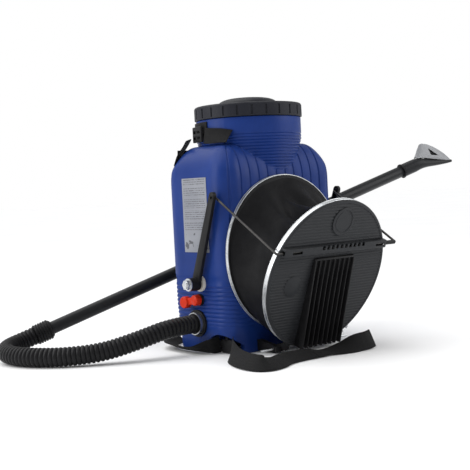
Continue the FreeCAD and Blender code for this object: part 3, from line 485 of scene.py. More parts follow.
class Effects:
    """Surface effects that several finishes share, each a node group that is built once."""

    @staticmethod
    def _group(name: str, inputs: dict[str, float],
               outputs: Sequence[str]) -> tuple[bpy.types.NodeTree, Desk]:
        """Start a group with plain value sockets."""
        group = bpy.data.node_groups.new(name, "ShaderNodeTree")
        for label, start in inputs.items():
            group.interface.new_socket(label, in_out="INPUT",
                                       socket_type="NodeSocketFloat").default_value = start
        for label in outputs:
            group.interface.new_socket(label, in_out="OUTPUT", socket_type="NodeSocketFloat")
        return group, Desk(group)

    @staticmethod
    def grain() -> bpy.types.NodeTree:
        """Moulded skin: fine grain over slow unevenness, with a mask for scuffs."""
        name = "moulded_grain"
        if name in bpy.data.node_groups:
            return bpy.data.node_groups[name]
        group, desk = Effects._group(name, {"Fine": 900.0, "Slow": 14.0}, ["Height", "Tone", "Scuff"])
        given = desk.add("NodeGroupInput")
        place = desk.add("ShaderNodeTexCoord").outputs["Object"]
        fine = desk.noise(place, given.outputs["Fine"], 2.0, 0.6)
        slow = desk.noise(place, given.outputs["Slow"], 3.0, 0.55)
        stretched = desk.add("ShaderNodeMapping", {"Vector": place, "Scale": (1.0, 1.0, 0.12)}).outputs[0]
        scratch = desk.noise(stretched, 260.0, 2.0, 0.7)
        patch = desk.noise(place, 9.0, 2.0)
        scuff = desk.math("MULTIPLY", desk.ramp(scratch, 0.62, 0.72), desk.ramp(patch, 0.5, 0.68))
        height = desk.math("ADD", desk.math("MULTIPLY", fine, 0.6), desk.math("MULTIPLY", slow, 0.4))
        desk.add("NodeGroupOutput", {"Height": height, "Tone": slow, "Scuff": scuff})
        return group

    @staticmethod
    def dust() -> bpy.types.NodeTree:
        """Powder that settles on what looks up, in soft patches."""
        name = "settled_powder"
        if name in bpy.data.node_groups:
            return bpy.data.node_groups[name]
        group, desk = Effects._group(name, {"Amount": 0.2}, ["Mask"])
        given = desk.add("NodeGroupInput")
        normal = desk.add("ShaderNodeNewGeometry").outputs["Normal"]
        up = desk.add("ShaderNodeSeparateXYZ", {0: normal}).outputs["Z"]
        place = desk.add("ShaderNodeTexCoord").outputs["Object"]
        patch = desk.ramp(desk.noise(place, 22.0, 5.0, 0.65), 0.35, 0.75)
        lying = desk.math("MULTIPLY", desk.ramp(up, 0.2, 1.0), patch)
        mask = desk.math("MULTIPLY", lying, given.outputs["Amount"])
        desk.add("NodeGroupOutput", {"Mask": mask})
        return group


@dataclass(frozen=True)
class Finish:
    """A surface finish.

    Attributes:
        name: The material's name.
        slot: The record's material slot. Not used.
        base: Main colour.
        tint: The colour it drifts towards.
        gloss: Roughness where the surface is smoothest and dullest.
        metal: Whether it is bare metal.
        fine: Grain size, in grains to the metre.
        relief: Height of the grain.
        dust: Share of settled powder.
        shine: Strength of its plain reflection.
    """

    name: str
    slot: str
    base: Triple
    tint: Triple
    gloss: Pair = (0.4, 0.55)
    metal: float = 0.0
    fine: float = 900.0
    relief: float = 0.15 * MM
    dust: float = 0.0
    shine: float = 0.16

    def surface(self, desk: Desk) -> tuple[object, object, object]:
        """Lay out the pattern.

        Args:
            desk: Where the nodes go.

        Returns:
            The colour, roughness and height sockets.
        """
        grain = desk.add("ShaderNodeGroup", {}, node_tree=Effects.grain())
        grain.inputs["Fine"].default_value = self.fine
        colour = desk.mix(desk.ramp(grain.outputs["Tone"], 0.3, 0.7), (*self.base, 1), (*self.tint, 1))
        rough = desk.ramp(grain.outputs["Tone"], 0.3, 0.7, *self.gloss)
        rough = desk.math("ADD", rough, desk.math("MULTIPLY", grain.outputs["Scuff"], 0.12))
        return colour, rough, grain.outputs["Height"]

    def material(self) -> bpy.types.Material:
        """Build the material once.

        Returns:
            The material.
        """
        if self.name in bpy.data.materials:
            return bpy.data.materials[self.name]
        made = bpy.data.materials.new(self.name)
        made.use_nodes = True
        desk = Desk(made.node_tree)
        colour, rough, height = self.surface(desk)
        if self.dust:
            powder = desk.add("ShaderNodeGroup", {}, node_tree=Effects.dust())
            powder.inputs["Amount"].default_value = self.dust
            colour = desk.mix(powder.outputs["Mask"], colour, (0.55, 0.55, 0.53, 1))
            rough = desk.math("ADD", rough, desk.math("MULTIPLY", powder.outputs["Mask"], 0.4))
        bump = desk.add("ShaderNodeBump", {"Strength": 1.0, "Distance": self.relief, "Height": height})
        shader = desk.add("ShaderNodeBsdfPrincipled", {"Base Color": colour, "Roughness": rough,
                                                       "Normal": bump.outputs[0], "Metallic": self.metal})
        self.adjust(shader)
        desk.add("ShaderNodeOutputMaterial", {"Surface": shader.outputs[0]})
        made.diffuse_color = (*self.base, 1)
        return made

    def adjust(self, shader: bpy.types.Node) -> None:
        """Set what a special finish needs on its shader."""
        shader.inputs["Specular IOR Level"].default_value = self.shine

    def dress(self, *pieces: bpy.types.Object) -> None:
        """Give pieces this finish.

        Args:
            pieces: CAD nodes or new pieces.
        """
        for piece in pieces:
            piece.data.materials.clear()
            piece.data.materials.append(self.material())


@dataclass(frozen=True)
class Webbing(Finish):
    """Woven strap: ribs across and a herringbone of yarns, laid out by the strip's own UV in metres."""

    pick: float = 1.9 * MM

    def surface(self, desk: Desk) -> tuple[object, object, object]:
        """Lay out the weave."""
        uv = desk.add("ShaderNodeSeparateXYZ", {0: desk.add("ShaderNodeTexCoord").outputs["UV"]})
        across, along = uv.outputs["X"], uv.outputs["Y"]
        fold = desk.math("PINGPONG", across, 3.2 * MM)
        slant = desk.math("ADD", along, desk.math("MULTIPLY", fold, 0.8))
        yarn = desk.math("SINE", desk.math("MULTIPLY", slant, math.tau / self.pick))
        warp = desk.math("SINE", desk.math("MULTIPLY", across, math.tau / (1.1 * MM)))
        weave = desk.math("MULTIPLY_ADD", desk.math("MULTIPLY", yarn, warp), 0.25,
                          desk.math("MULTIPLY_ADD", yarn, 0.25, 0.5))
        place = desk.add("ShaderNodeTexCoord").outputs["Object"]
        worn = desk.noise(place, 40.0, 4.0, 0.6)
        colour = desk.mix(desk.math("MULTIPLY", weave, desk.ramp(worn, 0.2, 0.8, 0.35, 1.0)),
                          (*self.base, 1),
                          (*self.tint, 1))
        return colour, desk.ramp(weave, 0.0, 1.0, self.gloss[1], self.gloss[0]), weave

    def adjust(self, shader: bpy.types.Node) -> None:
        """Yarn has a faint sheen."""
        shader.inputs["Specular IOR Level"].default_value = 0.15
        shader.inputs["Sheen Weight"].default_value = 0.04
        shader.inputs["Sheen Roughness"].default_value = 0.4


@dataclass(frozen=True)
class Leathercloth(Finish):
    """Coated cloth: pebbled grain, with soft wrinkles over it."""

    def surface(self, desk: Desk) -> tuple[object, object, object]:
        """Lay out the pebbles and wrinkles."""
        place = desk.add("ShaderNodeTexCoord").outputs["Object"]
        pebble = desk.add("ShaderNodeTexVoronoi", {"Vector": place, "Scale": self.fine}).outputs["Distance"]
        wrinkle = desk.noise(place, 30.0, 5.0, 0.6)
        long_fold = desk.add("ShaderNodeTexNoise", {"Vector": place, "Scale": 9.0, "Detail": 3.0,
                                                    "Distortion": 1.2}).outputs[0]
        height = desk.math("ADD", desk.math("MULTIPLY", pebble, 0.12),
                           desk.math("ADD", desk.math("MULTIPLY", wrinkle, 0.5), long_fold))
        colour = desk.mix(desk.ramp(wrinkle, 0.3, 0.7), (*self.base, 1), (*self.tint, 1))
        rough = desk.math("ADD", desk.ramp(long_fold, 0.35, 0.65, *self.gloss),
                          desk.math("MULTIPLY", pebble, 0.1))
        return colour, rough, height


@dataclass(frozen=True)
class BrushedMetal(Finish):
    """Plated or drawn metal: streaks along the piece and faint cloudiness."""

    streak: Triple = (1.0, 1.0, 1.0)

    def surface(self, desk: Desk) -> tuple[object, object, object]:
        """Lay out the streaks."""
        place = desk.add("ShaderNodeTexCoord").outputs["Object"]
        drawn = desk.add("ShaderNodeMapping", {"Vector": place, "Scale": self.streak}).outputs[0]
        lines = desk.noise(drawn, self.fine, 2.0, 0.7)
        cloud = desk.noise(place, 35.0, 4.0, 0.6)
        colour = desk.mix(desk.ramp(cloud, 0.35, 0.7), (*self.base, 1), (*self.tint, 1))
        rough = desk.math("ADD", desk.ramp(cloud, 0.3, 0.7, *self.gloss),
                          desk.math("MULTIPLY", desk.ramp(lines, 0.3, 0.7), 0.12))
        return colour, rough, lines


@dataclass(frozen=True)
class PrintedLabel(Finish):
    """Data plate film: pale ground with plain broken bars where printing would be, and one plain drawing area."""

    low: float = 0.214
    high: float = 0.372

    def surface(self, desk: Desk) -> tuple[object, object, object]:
        """Lay out the bars."""
        place = desk.add("ShaderNodeTexCoord").outputs["Object"]
        parts = desk.add("ShaderNodeSeparateXYZ", {0: place})
        y, z = parts.outputs["Y"], parts.outputs["Z"]
        row = desk.math("FRACT", desk.math("DIVIDE", desk.math("SUBTRACT", z, self.low), 4.6 * MM))
        bar = desk.math("MULTIPLY", desk.math("GREATER_THAN", row, 0.35), desk.math("LESS_THAN", row, 0.78))
        stretched = desk.add("ShaderNodeMapping", {"Vector": place, "Scale": (0.0, 1.0, 0.9)}).outputs[0]
        words = desk.ramp(desk.noise(stretched, 330.0, 2.0, 0.8), 0.44, 0.52)
        block = desk.ramp(desk.math("SINE", desk.math("MULTIPLY", z, math.tau / (24.0 * MM))), -0.82, -0.78)
        margin = desk.math("LESS_THAN", desk.math("ABSOLUTE", y), 36.0 * MM)
        text = desk.math("MULTIPLY", desk.math("MULTIPLY", bar, words),
                         desk.math("MULTIPLY", block, margin))
        upper = desk.ramp(z, self.low + 44 * MM, self.low + 45 * MM)
        text = desk.math("MULTIPLY", text, upper)
        sketch = desk.ramp(desk.noise(place, 75.0, 3.0, 0.5), 0.6, 0.64)
        inside = desk.math("MULTIPLY", desk.ramp(z, self.low + 6 * MM, self.low + 8 * MM),
                           desk.ramp(z, self.low + 42 * MM, self.low + 40 * MM))
        ink = desk.math("MAXIMUM", desk.math("MULTIPLY", text, 0.75),
                        desk.math("MULTIPLY", desk.math("MULTIPLY", sketch, inside), 0.8))
        stain = desk.noise(place, 20.0, 3.0)
        ground = desk.mix(desk.ramp(stain, 0.3, 0.7), (*self.base, 1), (*self.tint, 1))
        colour = desk.mix(ink, ground, (0.05, 0.05, 0.06, 1))
        return colour, desk.ramp(stain, 0.3, 0.7, *self.gloss), stain


@dataclass(frozen=True)
class ClearPlastic(Finish):
    """Cloudy see-through plastic."""

    def adjust(self, shader: bpy.types.Node) -> None:
        """Let some light through."""
        shader.inputs["Transmission Weight"].default_value = 0.35
        shader.inputs["IOR"].default_value = 1.45


HOPPER_BLUE = Finish("hopper_blue", "hopper_plastic", (0.007, 0.029, 0.165), (0.01, 0.037, 0.2),
                     (0.34, 0.46),
                     fine=420.0, relief=0.12 * MM, dust=0.02)
CAP_BLACK = Finish("cap_black", "cap_plastic", (0.013, 0.014, 0.02), (0.02, 0.021, 0.027), (0.42, 0.56),
                   fine=700.0, relief=0.1 * MM, dust=0.06)
MOULDED_BLACK = Finish("moulded_black", "black_plastic", (0.009, 0.009, 0.01), (0.014, 0.014, 0.015),
                       (0.38, 0.52),
                       fine=800.0, relief=0.1 * MM, dust=0.03)
BOARD_GREY = Finish("board_grey", "board_plastic", (0.02, 0.021, 0.024), (0.027, 0.029, 0.032),
                    (0.42, 0.54),
                    fine=800.0, relief=0.1 * MM, dust=0.05)
SKIN = Leathercloth("bellows_leathercloth", "bellows_cloth", (0.006, 0.006, 0.007), (0.011, 0.011, 0.012),
                    (0.38, 0.55), fine=900.0, relief=1.6 * MM, shine=0.1)
ZINC = BrushedMetal("zinc_plate", "zinc_steel", (0.5, 0.52, 0.54), (0.64, 0.65, 0.66), (0.2, 0.32),
                    metal=1.0,
                    fine=900.0, relief=0.03 * MM, streak=(1.0, 0.15, 1.0))
WIRE_STEEL = BrushedMetal("spring_wire", "steel_wire", (0.035, 0.034, 0.033), (0.07, 0.068, 0.066),
                          (0.24, 0.38),
                          metal=1.0, fine=1400.0, relief=0.02 * MM)
KNOB_RED = Finish("knob_red", "knob_plastic", (0.55, 0.024, 0.006), (0.64, 0.036, 0.008), (0.24, 0.34),
                  fine=500.0,
                  relief=0.05 * MM)
HOSE_BLACK = Finish("hose_black", "hose_plastic", (0.01, 0.01, 0.011), (0.016, 0.016, 0.017), (0.3, 0.42),
                    fine=600.0, relief=0.06 * MM, dust=0.01, shine=0.12)
LANCE_BLACK = Finish("lance_black", "lance_plastic", (0.012, 0.0125, 0.014), (0.018, 0.019, 0.021),
                     (0.26, 0.38),
                     fine=500.0, relief=0.05 * MM)
NOZZLE_GREY = ClearPlastic("nozzle_cloudy", "nozzle_clear", (0.36, 0.37, 0.39), (0.44, 0.45, 0.47),
                           (0.3, 0.4),
                           fine=500.0, relief=0.05 * MM)
STRAP_BLACK = Webbing("strap_webbing", "webbing", (0.003, 0.003, 0.0035), (0.012, 0.012, 0.0125),
                      (0.6, 0.8),
                      relief=0.35 * MM)
RUBBER = Finish("rubber_black", "rubber", (0.012, 0.012, 0.012), (0.018, 0.018, 0.018), (0.6, 0.75),
                fine=1100.0,
                relief=0.12 * MM)
LABEL = PrintedLabel("data_plate_film", "label_film", (0.22, 0.23, 0.26), (0.28, 0.29, 0.32), (0.3, 0.42),
                     relief=0.05 * MM)
ACETAL = Finish("acetal_white", "bush_plastic", (0.62, 0.6, 0.55), (0.68, 0.66, 0.6), (0.3, 0.42),
                fine=600.0,
                relief=0.04 * MM)


def fit(piece: bpy.types.Object, finish: Finish, body: Body, *nodes: str) -> None:
    """Dress a new piece, put it on its body and hide the CAD nodes that it replaces.

    Args:
        piece: The new piece.
        finish: Its surface.
        body: The body that it moves with.
        nodes: The CAD nodes that it replaces, if any.
    """
    finish.dress(piece)
    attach(piece, body.value)
    if nodes:
        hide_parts(*nodes)


# ---- hopper ------------------------------------------------------------------------------------------
@dataclass
class Hopper:
    """Blow-moulded hopper: body, shoulders, ribbed bib, collar and neck, its label and its base."""

    half_width: float = 163.0 * MM
    half_depth: float = 98.0 * MM
    corner: float = 55.0 * MM
    top: float = 440.0 * MM
    shoulder_in: float = 50.0 * MM
    shoulder_down: float = 78.0 * MM
    collar: float = 116.0 * MM
    collar_top: float = 497.0 * MM
    bib_low: float = 375.0 * MM
    bib_high: float = 450.0 * MM
    bib_radius: float = 95.0 * MM
    neck: float = 109.0 * MM
    neck_top: float = 520.0 * MM
    mouth: float = 99.0 * MM
    groove_pitch: float = 25.5 * MM
    groove_depth: float = 2.0 * MM
    groove_low: float = 146.0 * MM
    rib_pitch: float = 6.5 * MM
    low_ribs: Pair = (58.0 * MM, 148.0 * MM)
    low_rib_pitch: float = 9.0 * MM
    swell: float = 5.0 * MM
    corner_fill: float = 7.9 * MM
    skirt: float = 7.0 * MM

    def columns(self) -> list[tuple[Vector, Vector, float]]:
        """Points round the body's plan.

        Returns:
            For each column its place, its outward direction and how much of a groove it carries.
        """
        flat = self.half_width - self.corner
        side_flat = self.half_depth - self.corner
        quarter: list[tuple[Vector, Vector, float]] = []
        offsets = ((-2.4, 0.0), (-1.4, 0.7), (-0.5, 1.0), (0.5, 1.0), (1.4, 0.7), (2.4, 0.0), (8.0, -0.3),
                   (12.75, -0.42), (17.5, -0.3))
        xs = [(0.0, -0.42), (4.75 * MM, -0.3)]
        for k in range(6):
            middle = (k + 0.5) * self.groove_pitch
            xs += [(middle + off * MM, depth) for off, depth in offsets]
        for x, depth in xs:
            if x <= flat:
                quarter.append((Vector((x, -self.half_depth)), Vector((0, -1)), depth))
            elif (x - flat) / self.corner < 0.85:
                angle = math.asin((x - flat) / self.corner)
                way = Vector((math.sin(angle), -math.cos(angle)))
                quarter.append((Vector((flat, -side_flat)) + way * self.corner, way, depth))
        start = math.atan2(quarter[-1][1].x, -quarter[-1][1].y)
        for k in range(1, 7):
            angle = start + (math.pi / 2 - start) * k / 6
            way = Vector((math.sin(angle), -math.cos(angle)))
            quarter.append((Vector((flat, -side_flat)) + way * self.corner, way, 0.0))
        for k in range(1, 6):
            quarter.append((Vector((self.half_width, -side_flat * (1 - k / 5))), Vector((1, 0)), 0.0))
        front = [(Vector((p.x, -p.y)), Vector((n.x, -n.y)), d) for p, n, d in reversed(quarter[:-1])]
        half = quarter + front
        left = [(Vector((-p.x, p.y)), Vector((-n.x, n.y)), d) for p, n, d in reversed(half[1:-1])]
        return half + left

    def heights(self) -> list[float]:
        """Heights of the rings, close together where the surface turns.

        Returns:
            The heights, lowest first.
        """
        made = {0.0, 1.0 * MM, 3.0 * MM, 7.0 * MM, 12.0 * MM, 20.0 * MM, 30.0 * MM, 40.0 * MM, 50.0 * MM}
        low, high = self.low_ribs
        count = round((high - low) / self.low_rib_pitch)
        made |= {low + self.low_rib_pitch * (k + part) for k in range(count)
                 for part in (0, 0.12, 0.24, 0.38, 0.62, 0.76, 0.88)}
        made |= {high + k * 4 * MM for k in range(1, 8)}
        made |= {180.0 * MM + k * 20 * MM for k in range(9)}
        start = self.top - self.shoulder_down
        made |= {start + self.shoulder_down * math.sin(math.pi / 2 * k / 26) for k in range(27)}
        made |= {self.bib_low + self.rib_pitch * (k + part) for k in range(14) for part in (0, 0.15, 0.35, 0.65, 0.85)}
        made |= {self.top + k * MM for k in (0.4, 1.2, 3.0)}
        made |= {self.bib_high + 18 * MM, self.bib_high + 30 * MM, self.collar_top - 3 * MM,
                 self.collar_top - 1.2 * MM, self.collar_top - 0.3 * MM, self.collar_top}
        rings: list[float] = []
        for z in sorted(made):
            if not rings or z - rings[-1] > 0.25 * MM:
                rings.append(z)
        return rings

    def shoulder(self, z: float) -> float:
        """How far the body has drawn in at a height."""
        start = self.top - self.shoulder_down
        if z <= start:
            return 0.0
        if z > self.top:
            return 0.3
        rise = (z - start) / self.shoulder_down
        return self.shoulder_in * (1 - math.sqrt(max(0.0, 1 - rise * rise)))

    def cone(self, z: float) -> float:
        """Radius of the bib and collar at a height, its ribs included."""
        share = min(1.0, max(0.0, (z - self.bib_low) / (self.bib_high - self.bib_low)))
        radius = self.bib_radius + (self.collar - self.bib_radius) * share
        if self.bib_low + 4 * MM < z < self.bib_high + 12 * MM:
            wave = abs(math.sin(math.pi * (z - self.bib_low) / self.rib_pitch))
            radius -= 1.7 * MM * (1 - wave ** 0.6)
        over = z - (self.collar_top - 3 * MM)
        if over > 0:
            radius -= 3 * MM * (1 - math.sqrt(max(0.0, 1 - (over / (3 * MM)) ** 2)))
        return radius

    def inset(self, place: Vector, way: Vector, groove: float, z: float) -> float:
        """How far the surface lies inside the plain plan, along a column's direction.

        Args:
            place: The column's place on the plain plan.
            way: Its outward direction.
            groove: How much of a groove it carries.
            z: The height.

        Returns:
            The distance inwards.
        """
        drawn = self.shoulder(z)
        fade = ease((z - self.groove_low) / (14 * MM))
        drawn += groove * self.groove_depth * fade
        low, high = self.low_ribs
        if low < z < high:
            swell = math.sin(math.pi * (z - low) / (high - low)) ** 0.3
            drawn += 1.9 * MM * swell * (0.5 + 0.5 * math.cos(math.tau * (z - low) / self.low_rib_pitch)) ** 2.2
        waist = math.exp(-((z - 155 * MM) / (6 * MM)) ** 2)
        drawn += 1.6 * MM * waist
        if z < 7 * MM:
            drawn += 3.0 * MM * (1 - math.sqrt(max(0.0, 1 - (1 - z / (7 * MM)) ** 2)))
        radius = self.cone(z)
        lean = place.dot(way)
        square = lean * lean - place.length_squared + radius * radius
        if z < self.bib_low or square <= 0:
            return drawn
        reach = lean - math.sqrt(square)
        blend = 2.0 * MM
        mix = min(1.0, max(0.0, 0.5 + 0.5 * (drawn - reach) / blend))
        return drawn * (1 - mix) + reach * mix - blend * mix * (1 - mix)

    def fullness(self, place: Vector, way: Vector, z: float) -> Vector:
        """How much fuller the body is than its plain plan: at its corners, and on the wearer's side.

        Args:
            place: The column's place on the plain plan.
            way: Its outward direction.
            z: The height.

        Returns:
            The push outwards.
        """
        fade = (0.3 + 0.7 * ease(z / (110 * MM))) * (1 - ease((z - 385 * MM) / (50 * MM)))
        push = way * (self.corner_fill * abs(2 * way.x * way.y) ** 1.5)
        push += Vector((0, self.swell * ease(place.y / self.half_depth)))
        return push * fade

    def hull(self) -> bpy.types.Object:
        """Form the body, then sink its base and cut its strap recesses.

        Returns:
            The hopper's shell.
        """
        columns, heights = self.columns(), self.heights()
        inner = [(self.neck + 1.5 * MM, self.collar_top), (self.neck, self.collar_top + 1.5 * MM),
                 (self.neck, self.neck_top - 2 * MM), (self.neck - 2 * MM, self.neck_top),
                 (self.mouth + 2 * MM, self.neck_top), (self.mouth, self.neck_top - 2 * MM),
                 (self.mouth, self.neck_top - 60 * MM), (0.0, self.neck_top - 60 * MM)]
        under = [(self.skirt, 0.0), (self.skirt + 1 * MM, 1.0 * MM), (self.skirt + 2 * MM, 26.0 * MM)]

        def place(i: int, j: int) -> Vector:
            """Place of one grid point."""
            point, way, groove = columns[i % len(columns)]
            if j < len(under):
                inset, z = under[len(under) - 1 - j]
                flat = point - way * inset
            elif j < len(under) + len(heights):
                z = heights[j - len(under)]
                flat = point - way * self.inset(point, way, groove, z) + self.fullness(point, way, z)
            else:
                radius, z = inner[j - len(under) - len(heights)]
                reach = point - way * self.inset(point, way, groove, heights[-1])
                flat = reach.normalized() * radius
            return Vector((flat.x, flat.y, z))

        piece = Bench.wrapped(len(columns), len(under) + len(heights) + len(inner) - 1, place)
        Bench.fill_ends(piece)
        Bench.recalculate(piece)
        for side in (-1, 1):
            Bench.cut(piece, self.recess(side))
        return Bench.settle(piece, "hopper_shell", smooth=32)

    def recess(self, side: int) -> bpy.types.Object:
        """The arched hollow for a lower strap's end.

        Args:
            side: -1 for the left, 1 for the right.

        Returns:
            The shape to cut away.
        """
        outside, below, deep = 250 * MM, -10 * MM, 36 * MM
        centre_y, centre_z, radius, stretch = -58 * MM, 2 * MM, 40 * MM, 1.05
        arch = [Vector((side * outside, centre_y + radius * math.cos(angle) * stretch,
                        centre_z + radius * math.sin(angle))) for angle in (math.pi * k / 16 for k in range(17))]
        first, last = (Vector((side * outside, end.y, below)) for end in (arch[0], arch[-1]))
        return Bench.plate([first, *arch, last], (-side * (outside - self.half_width + deep), 0, 0))

    def webs(self) -> bpy.types.Object:
        """Crossed webs under the base."""
        reach_x, reach_y = self.half_width - 5 * MM, self.half_depth - 5 * MM
        half, tall, soft = 4 * MM, 27 * MM, 1.2 * MM
        bars = [Bench.block((-half, -reach_y, 0), (half, reach_y, tall), soft),
                Bench.block((-reach_x, -half, 0), (reach_x, half, tall), soft)]
        return Bench.settle(Bench.join(bars), "base_webs")

    def data_plate(self) -> bpy.types.Object:
        """The plain label on the left side."""
        low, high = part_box("tank_label")
        piece = Bench.block((low.x - 0.05 * MM, low.y, low.z), (low.x + 1.5 * MM, high.y, high.z))
        Bench.soften(piece, 0.3 * MM, 2)
        return Bench.settle(piece, "data_plate")

    def build(self) -> None:
        """Make and dress the hopper's pieces."""
        fit(self.hull(), HOPPER_BLUE, Body.HOPPER, "tank")
        fit(self.webs(), HOPPER_BLUE, Body.HOPPER)
        fit(self.data_plate(), LABEL, Body.HOPPER, "tank_label")


@dataclass
class FillerCap:
    """Screw cap with grip slots and a domed hand grip."""

    radius: float = 119.0 * MM
    base: float = 497.4 * MM
    height: float = 30.0 * MM
    bore: float = 111.2 * MM
    slots: int = 24
    dome: float = 67.0 * MM
    dome_height: float = 17.0 * MM

    def shell(self) -> bpy.types.Object:
        """Turn the cap and cut its slots.

        Returns:
            The cap.
        """
        edge = 6.0 * MM
        profile: list[Pair] = [(self.bore, self.height - 4 * MM), (self.bore, 1 * MM),
                               (self.bore + 1 * MM, 0),
                               (self.radius - 0.8 * MM, 0), (self.radius, 0.8 * MM),
                               (self.radius, self.height - edge)]
        for k in range(1, 7):
            angle = math.pi / 2 * k / 6
            profile.append((self.radius - edge + edge * math.cos(angle),
                            self.height - edge + edge * math.sin(angle)))
        profile += [(self.radius - 14 * MM, self.height), (self.radius - 15.5 * MM, self.height - 1.6 * MM),
                    (self.radius - 22 * MM, self.height - 1.6 * MM), (self.radius - 23.5 * MM, self.height),
                    (self.dome + 5 * MM, self.height), (self.dome + 1 * MM, self.height + 0.5 * MM)]
        for k in range(1, 12):
            angle = math.pi / 2 * k / 11
            profile.append((self.dome * math.cos(angle) ** 0.55,
                            self.height + self.dome_height * math.sin(angle)))
        piece = Bench.turned(profile, (0, 0, self.base), steps=192)
        Bench.fill_ends(piece)
        first = Bench.block((self.radius - 2.2 * MM, -2.3 * MM, self.base + 3 * MM),
                            (self.radius + 6 * MM, 2.3 * MM, self.base + self.height - 6.5 * MM), 0.9 * MM)
        cutters = [Bench.copy(first, Matrix.Rotation(math.tau * (k + 0.5) / self.slots, 4, "Z"))
                   for k in range(self.slots)]
        bpy.data.objects.remove(first)
        Bench.cut(piece, Bench.join(cutters))
        return Bench.settle(piece, "screw_cap", smooth=40)

    def build(self) -> None:
        """Make and dress the cap."""
        fit(self.shell(), CAP_BLACK, Body.CAP, "filler_cap")


